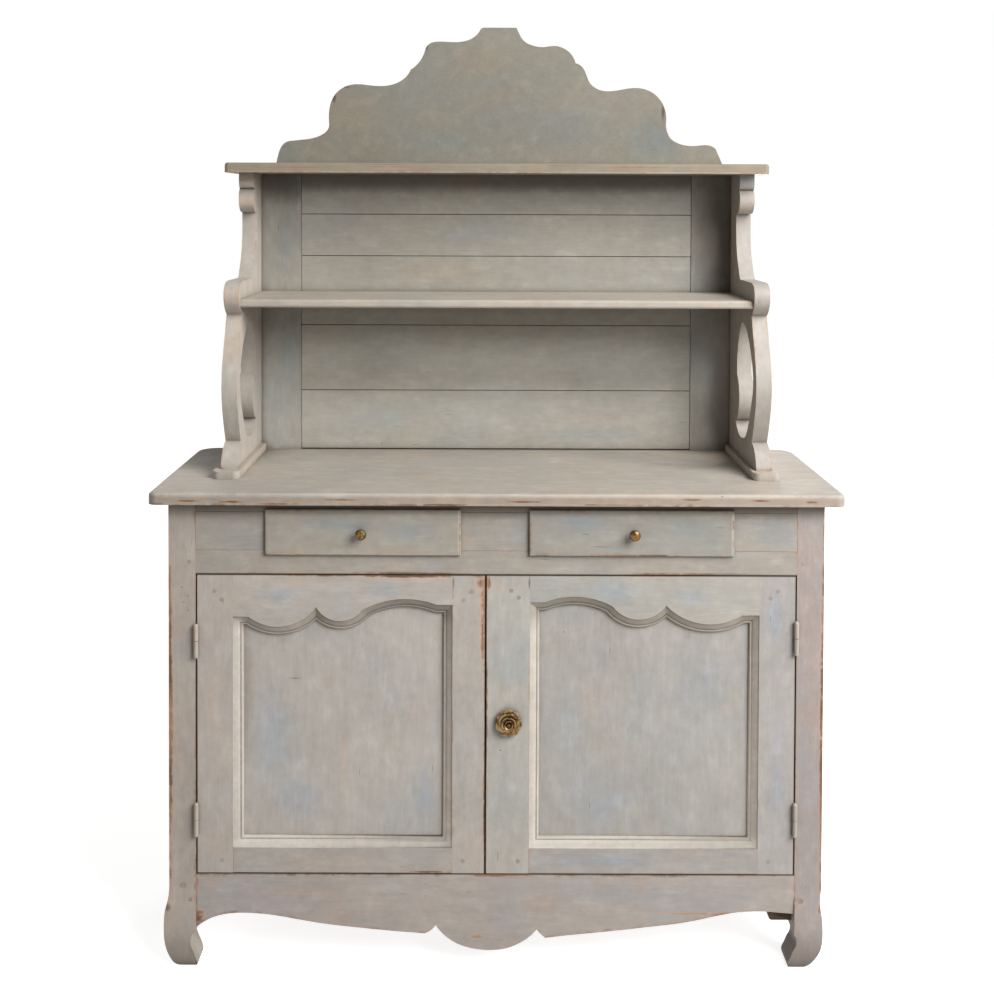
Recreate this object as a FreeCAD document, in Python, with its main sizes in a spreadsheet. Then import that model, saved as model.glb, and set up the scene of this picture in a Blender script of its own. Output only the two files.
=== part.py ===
"""Painted kitchen dresser: a two-door, two-drawer buffet that carries an open plate rack.

Millimetres. X runs to the right, Y to the back, Z up. The origin lies on the floor, in the
middle of the counter's plan. Every size that can be set by itself has one row in the sheet;
the rest is worked out from those rows.
"""
import FreeCAD, Part

import math
import os
from collections import defaultdict

from FreeCAD import Placement, Rotation, Vector

os.makedirs("parts", exist_ok=True)
doc = FreeCAD.newDocument("kitchen_dresser")

# Driving sizes: name, millimetres, meaning

SIZES = [
    ("counter_width", 1400, "counter, end to end"),
    ("counter_depth", 500, "counter, front edge to back edge"),
    ("counter_top", 974, "working height"),
    ("counter_thickness", 24, "counter board"),
    ("counter_front_corner", 19, "plan radius of the front corners"),
    ("counter_rear_corner", 46, "plan radius of the rear corners"),
    ("counter_edge_round", 8, "rounding of the upper edge"),
    ("end_overhang", 36, "counter beyond the cabinet at each end"),
    ("front_overhang", 30, "counter beyond the cabinet at the front"),
    ("rear_overhang", 10, "counter beyond the cabinet at the back"),
    ("post_width", 55, "posts, seen from the front"),
    ("post_depth", 55, "posts, seen from the side"),
    ("foot_height", 145, "floor to the knee of a scroll foot"),
    ("rail_thickness", 24, "front rails, muntins, apron and side rails"),
    ("drawer_rail_depth", 40, "rail between drawers and doors, front to back"),
    ("door_opening_bottom", 189, "top edge of the apron"),
    ("drawer_rail_height", 48, "rail between drawers and doors, seen from the front"),
    ("drawer_opening_height", 78, "drawer openings"),
    ("top_rail_height", 20, "thin rail under the counter"),
    ("left_muntin_width", 151, "muntin at the left end"),
    ("centre_muntin_width", 158, "muntin between the drawers"),
    ("centre_muntin_offset", -3, "the same, its middle to the right of the counter's"),
    ("right_muntin_width", 138, "muntin at the right end"),
    ("muntin_tenon_reach", 8, "stub tenons of the muntins"),
    ("tenon_thickness", 10, "tenons of the cabinet frame"),
    ("tenon_reach", 25, "tenons of the front and back rails"),
    ("tenon_shoulder", 8, "rail edge beyond its tenon"),
    ("thin_shoulder", 3, "the same on the thin top rail"),
    ("apron_tenon_height", 61, "tenons of the apron"),
    ("side_tenon_reach", 20, "tenons of the side rails"),
    ("side_rail_bottom", 110, "lower edge of the bottom side rails"),
    ("side_top_rail_height", 80, "top side rails"),
    ("side_panel_setback", 16, "side panels behind the outer face"),
    ("side_panel_thickness", 10, "side panels"),
    ("panel_groove", 10, "depth of the grooves that hold the side panels"),
    ("block_reach", 47, "corner blocks behind the apron, along it"),
    ("block_depth", 46, "the same, front to back"),
    ("block_top", 150, "upper face of the corner blocks"),
    ("left_block_bottom", 105, "lower face of the left corner block"),
    ("right_block_bottom", 84, "lower face of the right corner block, which peeps out"),
    ("block_corner", 8, "rounded lower corner of the blocks"),
    ("back_rail_bottom", 120, "lower edge of the bottom back rail"),
    ("floor_seat_gap", 1, "cabinet floor above the bottom back rail"),
    ("back_top_rail_height", 130, "top back rail"),
    ("back_board_thickness", 11, "upright back boards"),
    ("back_board_gap", 1.2, "gap between neighbouring boards"),
    ("lap_thickness", 5, "tongue of a back board, behind its neighbour"),
    ("lap_reach", 8, "tongue of a back board beyond its edge"),
    ("floor_drop", 7, "under side of the cabinet floor below the apron's top edge"),
    ("floor_thickness", 18, "cabinet floor"),
    ("shelf_bottom", 490, "under side of the inner shelf"),
    ("shelf_thickness", 18, "inner shelf"),
    ("shelf_setback", 70, "inner shelf behind the cabinet front"),
    ("cleat_width", 20, "cleats, seen from the front"),
    ("cleat_height", 22, "cleats"),
    ("runner_width", 30, "drawer runners"),
    ("runner_height", 22, "drawer runners under the drawer"),
    ("guide_width", 14, "upright edge of a runner beside the drawer"),
    ("guide_height", 15, "the same, above the drawer's under side"),
    ("fit_gap", 0.4, "clearance between pieces that move past each other"),
    ("overrun", 5, "cuts beyond the face that they open"),
    ("same_place", 0.0005, "places closer than this count as one"),
    ("peg_radius", 4, "wooden pegs"),
    ("peg_length", 21, "wooden pegs, under the face"),
    ("peg_proud", 0.4, "peg ends above the face"),
    ("peg_stagger", 15, "from a tenon's first peg to the next one, along the tenon"),
    ("door_hinge_gap", 2.5, "door edge to post"),
    ("door_meeting_gap", 3, "gap between the doors"),
    ("door_height_gap", 2.2, "gap above and below the doors"),
    ("door_meeting_place", -21, "middle of the gap between the doors"),
    ("door_thickness", 24, "door frames"),
    ("hinge_stile_width", 73, "door stiles on the hinge side"),
    ("left_meeting_stile", 66, "meeting stile of the left door"),
    ("right_meeting_stile", 88, "meeting stile of the right door"),
    ("door_bottom_rail", 52, "bottom rails of the doors"),
    ("left_shoulder_drop", 88, "drawer rail to the start of the left door's curve"),
    ("right_shoulder_drop", 82, "the same on the right door"),
    ("door_curve_rise", 37, "shoulder to the top of the arch"),
    ("door_panel_thickness", 8, "door panels"),
    ("door_panel_depth", 14, "door face to panel face"),
    ("door_panel_groove", 10, "grooves that hold the door panels"),
    ("door_panel_room", 0.5, "room for a panel in its groove"),
    ("door_tenon_reach", 45, "tenons of the door rails"),
    ("door_tenon_thickness", 6, "the same"),
    ("door_tenon_depth", 7, "door face to tenon"),
    ("moulding_width", 20, "door mouldings, face width"),
    ("barrel_radius", 4.8, "hinge barrels"),
    ("barrel_length", 71, "both halves together"),
    ("barrel_dome", 4, "rounded ends of a barrel"),
    ("barrel_proud", 5.5, "hinge axis before the door face"),
    ("pin_radius", 2.5, "hinge pins"),
    ("pin_reach", 28, "pin above the lower half"),
    ("pin_gap", 0.3, "room round the pin"),
    ("leaf_thickness", 2, "hinge leaves"),
    ("leaf_depth", 35, "hinge leaves behind the face"),
    ("left_low_hinge_rise", 77, "apron to the left door's lower hinge"),
    ("left_high_hinge_drop", 172, "drawer rail to the lower end of the left door's upper hinge"),
    ("right_low_hinge_rise", 80, "the same as on the left, lower hinge"),
    ("right_high_hinge_drop", 163, "the same as on the left, upper hinge"),
    ("rosette_setback", 47, "rosette knob, from the middle of the gap between the doors"),
    ("knob_height", 503, "rosette knob above the floor"),
    ("rosette_width", 56, "rosette"),
    ("rosette_height", 61, "rosette, point to point"),
    ("rosette_standoff", 6, "rosette's back before the door face"),
    ("rosette_layer", 4.6, "each layer of petals"),
    ("rosette_bud_radius", 4.5, "bud in the middle"),
    ("spindle_radius", 4, "knob spindle"),
    ("spindle_collar_radius", 9, "collar between rosette and door"),
    ("tongue_length", 75, "latch tongue from the spindle's middle"),
    ("tongue_width", 14, "latch tongue"),
    ("tongue_thickness", 4, "latch tongue"),
    ("bolt_setback", 34, "slide bolt, from the middle of the gap between the doors"),
    ("bolt_radius", 4, "slide bolt"),
    ("bolt_length", 128, "slide bolt"),
    ("bolt_socket_depth", 26, "hole in the drawer rail for the bolt"),
    ("bolt_plate_thickness", 2, "plate under the bolt"),
    ("bolt_plate_width", 30, "plate under the bolt"),
    ("bolt_plate_drop", 12, "plate's upper end under the door's upper edge"),
    ("bolt_plate_length", 110, "plate under the bolt"),
    ("staple_height", 12, "staples that hold the bolt"),
    ("staple_wall", 3, "metal round the bolt in a staple"),
    ("bolt_knob_radius", 5.5, "finger knob of the bolt"),
    ("drawer_lip_side", 10, "drawer front beyond its opening, sides"),
    ("drawer_lip_bottom", 9, "the same, below"),
    ("drawer_lip_top", 7, "the same, above"),
    ("drawer_lip_proud", 7, "drawer front before the cabinet front"),
    ("drawer_front_thickness", 20, "drawer front with its lip"),
    ("drawer_edge_round", 3, "rounding of the drawer front's edge"),
    ("drawer_side_gap", 1.5, "drawer to opening, each side"),
    ("drawer_top_gap", 2, "drawer front's inner part under the top rail"),
    ("drawer_side_drop", 7.6, "drawer sides under the opening's upper edge"),
    ("drawer_side_thickness", 12, "drawer sides and back"),
    ("drawer_back_room", 55, "room between a drawer and the back rail"),
    ("drawer_bottom_rise", 8, "drawer bottom above the lower edge of the sides"),
    ("drawer_bottom_thickness", 6, "drawer bottoms"),
    ("drawer_groove", 6, "grooves that hold the drawer bottoms"),
    ("left_knob_offset", -3, "left drawer knob, from the opening's middle"),
    ("right_knob_offset", 4.5, "right drawer knob, from the opening's middle"),
    ("drawer_knob_rise", 37, "drawer knobs above the opening's lower edge"),
    ("drawer_knob_radius", 11, "drawer knobs"),
    ("drawer_knob_reach", 21, "drawer knobs before the drawer front"),
    ("rack_end_setback", 115, "side boards' outer faces before the counter's ends"),
    ("rack_side_thickness", 33, "side boards"),
    ("rack_side_depth", 332, "side boards at the foot"),
    ("rack_rear_setback", 5, "side boards before the counter's rear edge"),
    ("rack_height", 649, "counter to the under side of the top shelf"),
    ("sled_height", 16, "sled feet"),
    ("sled_width", 57, "sled feet"),
    ("sled_overhang", 13, "sled feet beyond the side boards' outer face"),
    ("sled_length", 356, "sled feet"),
    ("sled_rear_setback", 10, "sled feet before the counter's rear edge"),
    ("sled_corner", 14, "plan radius of the sled feet's front corners"),
    ("mid_shelf_rise", 356, "counter to the under side of the middle shelf"),
    ("mid_shelf_thickness", 18, "middle shelf"),
    ("mid_shelf_depth", 274, "middle shelf, front edge to the back stiles"),
    ("mid_shelf_housing", 8, "middle shelf let into the side boards"),
    ("mid_shelf_stop", 15, "housing stops behind the shelf's front edge"),
    ("shelf_edge_round", 6, "rounding of the shelves' front edges"),
    ("top_shelf_overhang", 23, "top shelf beyond the side boards at each end"),
    ("top_shelf_depth", 184, "top shelf, front edge to the counter's rear edge"),
    ("top_shelf_thickness", 22, "top shelf"),
    ("top_shelf_corner", 10, "plan radius of the top shelf's front corners"),
    ("crest_setback", 15, "crest board before the top shelf's rear edge"),
    ("crest_thickness", 20, "crest board"),
    ("crest_end_setback", 85, "crest board's ends inside the top shelf's"),
    ("crest_height", 321, "crest board above the top shelf"),
    ("crest_offset", 7, "crest board's middle to the right of the counter's"),
    ("rack_back_inset", 2, "back stiles before the side boards' rear edge"),
    ("rack_back_thickness", 14, "back stiles"),
    ("rack_back_lift", 3, "back boards above the counter"),
    ("rack_stile_width", 93, "back stiles"),
    ("rack_board_setback", 2, "back boards behind the stiles' face"),
    ("rack_board_thickness", 11, "horizontal back boards"),
    ("rack_board_gap", 1.4, "gap between neighbouring boards"),
    ("rack_board_1_height", 137, "lowest back board with its gap"),
    ("rack_board_2_height", 154, "next board"),
    ("rack_board_4_height", 98, "board under the highest one"),
    ("rack_board_5_height", 94, "highest board with its gap"),
    ("dowel_radius", 4, "dowels of the rack"),
    ("dowel_grip", 14, "dowel in each neighbour"),
    ("front_dowel_setback", 285, "front dowels of the sled feet, from the side boards' rear edge"),
    ("rear_dowel_setback", 45, "rear dowels, from the side boards' rear edge"),
    ("corbel_dowel_setback", 95, "front dowels of the top shelf, from the side boards' rear edge"),
    ("crest_dowel_place", 330, "outer dowels of the crest board"),
]


class Size:
    """A length that carries its value in millimetres and the sheet formula that gives it."""

    def __init__(self, value, formula):
        self.value = float(value)
        self.formula = formula

    def _with(self, other, sign, value):
        return Size(value, "(" + self.formula + " " + sign + " " + formula_of(other) + ")")

    def __float__(self):
        return self.value

    def __neg__(self):
        return Size(-self.value, "(0 - " + self.formula + ")")

    def __add__(self, other):
        return self._with(other, "+", self.value + float(other))

    def __sub__(self, other):
        return self._with(other, "-", self.value - float(other))

    def __mul__(self, other):
        return self._with(other, "*", self.value * float(other))

    def __truediv__(self, other):
        return self._with(other, "/", self.value / float(other))

    __rmul__ = __mul__


def formula_of(size):
    """The formula of a size, or of a bare factor."""
    return size.formula if isinstance(size, Size) else format(size, ".9f")


class Sheet:
    """The spreadsheet's rows as attributes."""


s = Sheet()
sheet = doc.addObject("Spreadsheet::Sheet", "Sizes")
for row, (alias, millimetres, meaning) in enumerate(SIZES, 1):
    sheet.set("A" + str(row), meaning)
    sheet.set("B" + str(row), str(millimetres))
    sheet.setAlias("B" + str(row), alias)
    setattr(s, alias, Size(millimetres, "Sizes." + alias))
doc.recompute()

NONE = s.overrun - s.overrun
same_place = s.same_place.value

# Helpers: bound primitives, drawn boards, cuts and groups

nodes = {}


def bind(thing, prop, size):
    """Ties a property to the sheet."""
    thing.setExpression(prop, size.formula)


def keep(name, thing):
    """Registers a finished piece under the name of its file."""
    thing.Label = name
    nodes[name] = thing
    return thing


def place(thing, corner):
    """Ties a placement's position to the sheet."""
    for axis, size in zip("xyz", corner):
        bind(thing, "Placement.Base." + axis, size)


def block(name, x, y, z):
    """A rectangular piece between two places along each axis."""
    box = doc.addObject("Part::Box", name)
    for prop, (low, high) in zip(("Length", "Width", "Height"), (x, y, z)):
        bind(box, prop, high - low)
    place(box, (x[0], y[0], z[0]))
    return box


def rod(name, start, length, radius, direction):
    """A round bar from a place, along a direction."""
    bar = doc.addObject("Part::Cylinder", name)
    bar.Placement = Placement(Vector(), Rotation(Vector(0, 0, 1), direction))
    bind(bar, "Radius", radius)
    bind(bar, "Height", length)
    place(bar, start)
    return bar


BACKWARD = Vector(0, 1, 0)
UPWARD = Vector(0, 0, 1)


def join(name, *pieces):
    """One solid out of several that touch."""
    whole = doc.addObject("Part::MultiFuse", name)
    whole.Shapes = list(pieces)
    whole.Refine = True
    return whole


def group(name, *pieces):
    """Like pieces that share a node and stay separate solids."""
    together = doc.addObject("Part::Compound", name)
    together.Links = list(pieces)
    return together


def carve(name, blank, *tools):
    """A piece less what the tools take away."""
    if not tools:
        return blank
    waste = tools[0] if len(tools) == 1 else group(name + "_waste", *tools)
    rest = doc.addObject("Part::Cut", name)
    rest.Base = blank
    rest.Tool = waste
    rest.Refine = True
    return rest


def overlap(name, first, second):
    """What two blanks have in common."""
    common = doc.addObject("Part::Common", name)
    common.Base = first
    common.Tool = second
    return common


def point(across, up):
    """A place on a drawing plane."""
    return Vector(float(across), float(up), 0)


def trace(start, *runs):
    """Curves through runs of points: one more point is a line, two an arc, more a smooth curve."""
    here = point(*start)
    curves = []
    for run in runs:
        points = [here] + [point(*spot) for spot in run]
        if len(points) == 2:
            curves.append(Part.LineSegment(*points))
        elif len(points) == 3:
            curves.append(Part.Arc(*points))
        else:
            smooth = Part.BSplineCurve()
            smooth.interpolate(points)
            curves.append(smooth)
        here = points[-1]
    if here.distanceToPoint(point(*start)) > same_place:
        curves.append(Part.LineSegment(here, point(*start)))
    return curves


PLANE_ROLES = {"front": "XZ_Plane", "side": "YZ_Plane", "top": "XY_Plane"}


def draw(body, name, view, loops, offset):
    """A sketch on one of the body's own planes."""
    sketch = body.newObject("Sketcher::SketchObject", name)
    planes = [feature for feature in body.Origin.OriginFeatures if feature.Role == PLANE_ROLES[view]]
    sketch.AttachmentSupport = (planes[0], [""])
    sketch.MapMode = "FlatFace"
    for axis, size in zip("xyz", offset):
        bind(sketch, "AttachmentOffset.Base." + axis, size)
    for loop in loops:
        for curve in loop:
            sketch.addGeometry(curve, False)
    return sketch


def slab(name, view, loops, start, thickness):
    """A board cut to an outline, from start towards the back, the right or the top."""
    body = doc.addObject("PartDesign::Body", name)
    along = -start if view == "front" else start
    sketch = draw(body, name + "_outline", view, loops, (NONE, NONE, along))
    pad = body.newObject("PartDesign::Pad", name + "_board")
    pad.Profile = sketch
    bind(pad, "Length", thickness)
    pad.Reversed = view == "front"
    return body


def lathe(name, profile, x, y, z, lying):
    """A turned piece: its profile is drawn beside an axis that lies along Y or stands along Z."""
    body = doc.addObject("PartDesign::Body", name)
    view, offset, axis = ("side", (y, z, x), "H_Axis") if lying else ("front", (x, z, -y), "V_Axis")
    sketch = draw(body, name + "_profile", view, [profile], offset)
    turned = body.newObject("PartDesign::Revolution", name + "_turned")
    turned.Profile = sketch
    turned.ReferenceAxis = (sketch, [axis])
    turned.Angle = 360
    return body


def soften(body, radius, chosen):
    """Rounds the edges that chosen picks."""
    doc.recompute()
    tip = body.Tip
    names = ["Edge" + str(i) for i, edge in enumerate(tip.Shape.Edges, 1) if chosen(edge)]
    rounding = body.newObject("PartDesign::Fillet", body.Name + "_rounding_" + str(len(body.Group)))
    rounding.Base = (tip, names)
    bind(rounding, "Radius", radius)
    return body


def lies_at(edge, axis, size):
    """Whether an edge lies wholly at one place along an axis."""
    return all(abs(getattr(vertex, axis) - float(size)) < same_place for vertex in edge.Vertexes)


def rectangle(x, y):
    """A plain rectangular loop."""
    return trace((x[0], y[0]), [(x[1], y[0])], [(x[1], y[1])], [(x[0], y[1])])


def rounded_rectangle(x, y, front_radius, rear_radius):
    """A rectangular loop with one radius at the low y corners and one at the high y corners."""
    loop = []
    corners = [
        (x[0], y[0], 1, 1, front_radius),
        (x[1], y[0], -1, 1, front_radius),
        (x[1], y[1], -1, -1, rear_radius),
        (x[0], y[1], 1, -1, rear_radius),
    ]
    arcs = []
    for number, (cx, cy, dx, dy, radius) in enumerate(corners):
        r = float(radius)
        if r == 0:
            arcs.append([point(cx, cy)] * 3)
            continue
        centre = point(cx, cy) + Vector(dx * r, dy * r, 0)
        ends = [centre + Vector(-dx * r, 0, 0), centre + Vector(0, -dy * r, 0)]
        if number % 2:
            ends.reverse()
        middle = centre + Vector(-dx, -dy, 0) * (r * math.sqrt(0.5))
        arcs.append([ends[0], middle, ends[1]])
    for number, (begin, middle, end) in enumerate(arcs):
        if begin.distanceToPoint(end) > same_place:
            loop.append(Part.Arc(begin, middle, end))
        loop.append(Part.LineSegment(end, arcs[(number + 1) % len(arcs)][0]))
    return loop


def mirrored(side, low, high):
    """A stretch of X on the right, or its mirror image on the left."""
    return (low, high) if side > 0 else (-high, -low)


SIDES = (("left", -1), ("right", 1))

# Places that many pieces share

half_width = s.counter_width / 2 - s.end_overhang
front_face = s.front_overhang - s.counter_depth / 2
rear_face = s.counter_depth / 2 - s.rear_overhang
inner_half = half_width - s.post_width
post_rear = front_face + s.post_depth
rear_post_front = rear_face - s.post_depth
counter_bottom = s.counter_top - s.counter_thickness
rail_back = front_face + s.rail_thickness
opening = (-inner_half, inner_half)
drawer_opening_top = counter_bottom - s.top_rail_height
drawer_opening_bottom = drawer_opening_top - s.drawer_opening_height
door_opening_top = drawer_opening_bottom - s.drawer_rail_height
left_drawer_start = s.left_muntin_width - inner_half
left_drawer_end = s.centre_muntin_offset - s.centre_muntin_width / 2
right_drawer_start = s.centre_muntin_offset + s.centre_muntin_width / 2
right_drawer_end = inner_half - s.right_muntin_width
floor_bottom = s.door_opening_bottom - s.floor_drop
floor_top = floor_bottom + s.floor_thickness
side_panel_bottom = floor_top
side_panel_top = counter_bottom - s.side_top_rail_height
back_rail_top = floor_bottom - s.floor_seat_gap
back_top_rail_bottom = counter_bottom - s.back_top_rail_height
knob_x = s.door_meeting_place + s.rosette_setback
bolt_x = s.door_meeting_place - s.bolt_setback

# Joints: every tenon leaves a mortise and every peg a hole

mortises = defaultdict(list)
peg_holes = defaultdict(list)
pegs = defaultdict(list)


def tenoned(name, blank, x, tenon_y, tenon_z, reach, uprights, peg_heights, owner):
    """Gives a rail two tenons, marks their mortises in the uprights and pegs both."""
    ends = ((x[0] - reach, x[0]), (x[1], x[1] + reach))
    tenons = []
    drills = []
    for number, (end, upright) in enumerate(zip(ends, uprights)):
        tenons.append(block(name + "_tenon_" + str(number), end, tenon_y, tenon_z))
        mortises[upright].append((end, tenon_y, tenon_z))
        outward = -1 if number == 0 else 1
        for step, height in enumerate(peg_heights):
            spot = ((end[0] + end[1]) / 2 + outward * step * s.peg_stagger, height)
            drills.append(spot)
            peg_holes[upright].append(spot)
            pegs[owner].append(spot)
    whole = join(name + "_with_tenons", blank, *tenons)
    return carve(name, whole, *drill(name, drills))


def drill(name, spots):
    """Bores for pegs, from before the front face to the pegs' ends."""
    start = front_face - s.overrun
    length = s.peg_length + s.overrun
    return [
        rod(name + "_bore_" + str(number), (x, start, z), length, s.peg_radius, BACKWARD)
        for number, (x, z) in enumerate(spots)
    ]


def chopped(name, blank, *more):
    """An upright with its mortises, peg holes and further cuts."""
    cuts = [block(name + "_mortise_" + str(i), *hole) for i, hole in enumerate(mortises[name])]
    return carve(name, blank, *cuts, *drill(name, peg_holes[name]), *more)


def peg_group(name, owner):
    """The pegs of one body, each from its hole's end to a little above the face."""
    bars = [
        rod(name + "_" + str(i), (x, front_face - s.peg_proud, z), s.peg_length + s.peg_proud,
            s.peg_radius, BACKWARD)
        for i, (x, z) in enumerate(pegs[owner])
    ]
    return keep(name, group(name, *bars))


frame_tenon_y = (front_face + s.door_tenon_depth, front_face + s.door_tenon_depth + s.tenon_thickness)

# Frieze: three muntins between the top rail and the drawer rail

muntin_edges = [
    (-inner_half, left_drawer_start),
    (left_drawer_end, right_drawer_start),
    (right_drawer_end, inner_half),
]
muntins = []
for number, (low, high) in enumerate(muntin_edges):
    name = "muntin_" + str(number)
    x = (low + s.tenon_reach, high - s.tenon_reach)
    stubs = []
    for tag, rail, z in (
        ("lower", "drawer_rail", (drawer_opening_bottom - s.muntin_tenon_reach, drawer_opening_bottom)),
        ("upper", "top_front_rail", (drawer_opening_top, drawer_opening_top + s.muntin_tenon_reach)),
    ):
        stubs.append(block(name + "_" + tag + "_stub", x, frame_tenon_y, z))
        mortises[rail].append((x, frame_tenon_y, z))
    board = block(name + "_board", (low, high), (front_face, rail_back),
                  (drawer_opening_bottom, drawer_opening_top))
    muntins.append(join(name, board, *stubs))
keep("frieze_muntins", group("frieze_muntins", *muntins))

# Front rails between the posts

front_posts = ("front_post_left", "front_post_right")

top_rail_z = (drawer_opening_top, counter_bottom)
top_rail = tenoned(
    "top_front_rail_pegged",
    block("top_front_rail_board", opening, (front_face, rail_back), top_rail_z),
    opening, frame_tenon_y, (top_rail_z[0] + s.thin_shoulder, top_rail_z[1] - s.thin_shoulder),
    s.tenon_reach, front_posts, [], "carcass")
keep("top_front_rail", chopped("top_front_rail", top_rail))

drawer_rail_z = (door_opening_top, drawer_opening_bottom)
drawer_rail = tenoned(
    "drawer_rail_pegged",
    block("drawer_rail_board", opening, (front_face, front_face + s.drawer_rail_depth), drawer_rail_z),
    opening, frame_tenon_y, (drawer_rail_z[0] + s.tenon_shoulder, drawer_rail_z[1] - s.tenon_shoulder),
    s.tenon_reach, front_posts, [(drawer_rail_z[0] + drawer_rail_z[1]) / 2], "carcass")
bolt_depth = front_face + s.door_thickness + s.bolt_plate_thickness + s.bolt_radius + s.fit_gap
bolt_socket = rod(
    "bolt_socket", (bolt_x, bolt_depth, door_opening_top - s.overrun),
    s.bolt_socket_depth + s.overrun, s.bolt_radius + s.fit_gap, UPWARD)
keep("drawer_rail", chopped("drawer_rail", drawer_rail, bolt_socket))

# Apron with its serpentine lower edge, in shares of the half opening and of the apron's upper edge

APRON_START_SHARES = (-1.0, 0.41)
APRON_EDGE_SHARES = [
    [(-0.946, 0.519), (-0.905, 0.556), (-0.830, 0.571), (-0.745, 0.549), (-0.600, 0.468),
     (-0.460, 0.415), (-0.340, 0.378), (-0.235, 0.353)],
    [(-0.216, 0.385), (-0.199, 0.442)],
    [(-0.170, 0.335), (-0.125, 0.240), (-0.075, 0.190), (-0.022, 0.172), (0.035, 0.190),
     (0.085, 0.254), (0.118, 0.328), (0.139, 0.400)],
    [(0.152, 0.352), (0.168, 0.308)],
    [(0.259, 0.342), (0.380, 0.381), (0.520, 0.432), (0.660, 0.496), (0.740, 0.553), (0.820, 0.597),
     (0.870, 0.606), (0.930, 0.598)],
    [(1.0, 0.580)],
]


def on_apron(shares):
    """A place on the apron from its shares."""
    return (shares[0] * inner_half, shares[1] * s.door_opening_bottom)


apron_loop = trace(
    on_apron(APRON_START_SHARES),
    *[[on_apron(spot) for spot in run] for run in APRON_EDGE_SHARES],
    [(inner_half, s.door_opening_bottom)],
    [(-inner_half, s.door_opening_bottom)])
apron_tenon_top = s.door_opening_bottom - s.tenon_shoulder
apron_tenon_z = (apron_tenon_top - s.apron_tenon_height, apron_tenon_top)
apron = tenoned(
    "apron_front",
    slab("apron_blank", "front", [apron_loop], front_face, s.rail_thickness),
    opening, frame_tenon_y, apron_tenon_z, s.tenon_reach, front_posts,
    [apron_tenon_z[0] + s.tenon_shoulder * 2, apron_tenon_z[1] - s.tenon_shoulder * 2], "carcass")
keep("apron_front", apron)

blocks = []
for (tag, side), bottom in zip(SIDES, (s.left_block_bottom, s.right_block_bottom)):
    near = side * (inner_half - s.block_reach)
    far = side * inner_half
    turn = side * s.block_corner
    middle = s.block_corner * (1 - math.sqrt(0.5))
    loop = trace(
        (far, bottom), [(far, s.block_top)], [(near, s.block_top)], [(near, bottom + s.block_corner)],
        [(near + side * middle, bottom + middle), (near + turn, bottom)])
    blocks.append(slab("corner_block_" + tag, "front", [loop], rail_back, s.block_depth))
keep("apron_corner_blocks", group("apron_corner_blocks", *blocks))

# Side frames: two rails and a panel at each end

rear_posts = ("rear_post_left", "rear_post_right")
side_span = (post_rear, rear_post_front)
side_rails = {"top": (side_panel_top, counter_bottom), "bottom": (s.side_rail_bottom, side_panel_bottom)}
panel_x = (half_width - s.side_panel_setback - s.side_panel_thickness, half_width - s.side_panel_setback)
side_tenon_x = (panel_x[0] + s.side_panel_thickness, panel_x[0] + s.side_panel_thickness + s.tenon_thickness)
panel_y = (post_rear - s.panel_groove, rear_post_front + s.panel_groove)
panel_z = (side_panel_bottom - s.panel_groove, side_panel_top + s.panel_groove)
side_pieces = defaultdict(list)
side_grooves = {}
for tag, side in SIDES:
    rail_x = mirrored(side, half_width - s.rail_thickness, half_width)
    tenon_x = mirrored(side, *side_tenon_x)
    groove = (mirrored(side, *panel_x), panel_y, panel_z)
    side_grooves[tag] = groove
    for level, z in side_rails.items():
        name = "side_" + level + "_rail_" + tag
        pieces = [block(name + "_board", rail_x, side_span, z)]
        tenon_z = (z[0] + s.tenon_shoulder * 2, z[1] - s.tenon_shoulder * 2)
        for post, y in (
            ("front_post_", (side_span[0] - s.side_tenon_reach, side_span[0])),
            ("rear_post_", (side_span[1], side_span[1] + s.side_tenon_reach)),
        ):
            pieces.append(block(name + "_" + post + "tenon", tenon_x, y, tenon_z))
            mortises[post + tag].append((tenon_x, y, tenon_z))
        whole = join(name + "_with_tenons", *pieces)
        side_pieces[level].append(carve(name, whole, block(name + "_groove", *groove)))
    side_pieces["panel"].append(block("side_panel_" + tag, *groove))
keep("side_top_rails", group("side_top_rails", *side_pieces["top"]))
keep("side_bottom_rails", group("side_bottom_rails", *side_pieces["bottom"]))
keep("side_panels", group("side_panels", *side_pieces["panel"]))

# Back of the cabinet: two rails and upright boards

board_front = rear_face - s.back_board_thickness
back_rail_y = (board_front - s.rail_thickness, board_front)
back_tenon_y = (back_rail_y[0] + s.door_tenon_depth, back_rail_y[0] + s.door_tenon_depth + s.tenon_thickness)
back_rails = []
for level, z in (("bottom", (s.back_rail_bottom, back_rail_top)),
                 ("top", (back_top_rail_bottom, counter_bottom))):
    name = "back_" + level + "_rail"
    back_rails.append(tenoned(
        name, block(name + "_board", opening, back_rail_y, z), opening, back_tenon_y,
        (z[0] + s.tenon_shoulder, z[1] - s.tenon_shoulder), s.tenon_reach, rear_posts, [], "carcass"))
keep("back_rails", group("back_rails", *back_rails))

BACK_BOARDS = 7
board_pitch = (2 * inner_half + s.back_board_gap) / BACK_BOARDS


def lapped(name, upright, length, span, y, tongue_start, rebated):
    """A back board whose tongue closes the gap to its neighbour, which is rebated to make room for it."""
    def piece(tag, lengthwise, crosswise, depth):
        ends = (crosswise, depth, lengthwise) if upright else (lengthwise, depth, crosswise)
        return block(name + tag, *ends)

    rear_half = y[1] - s.lap_thickness
    board = piece("_board", length, span, y)
    if tongue_start is not None:
        board = join(name + "_tongued", board, piece(
            "_tongue", length, (tongue_start, span[0]), (rear_half, y[1])))
    if rebated:
        beyond = (length[0] - s.overrun, length[1] + s.overrun)
        board = carve(name, board, piece(
            "_rebate", beyond, (span[1] - s.lap_reach, span[1] + s.overrun), (rear_half, y[1] + s.overrun)))
    return board


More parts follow.
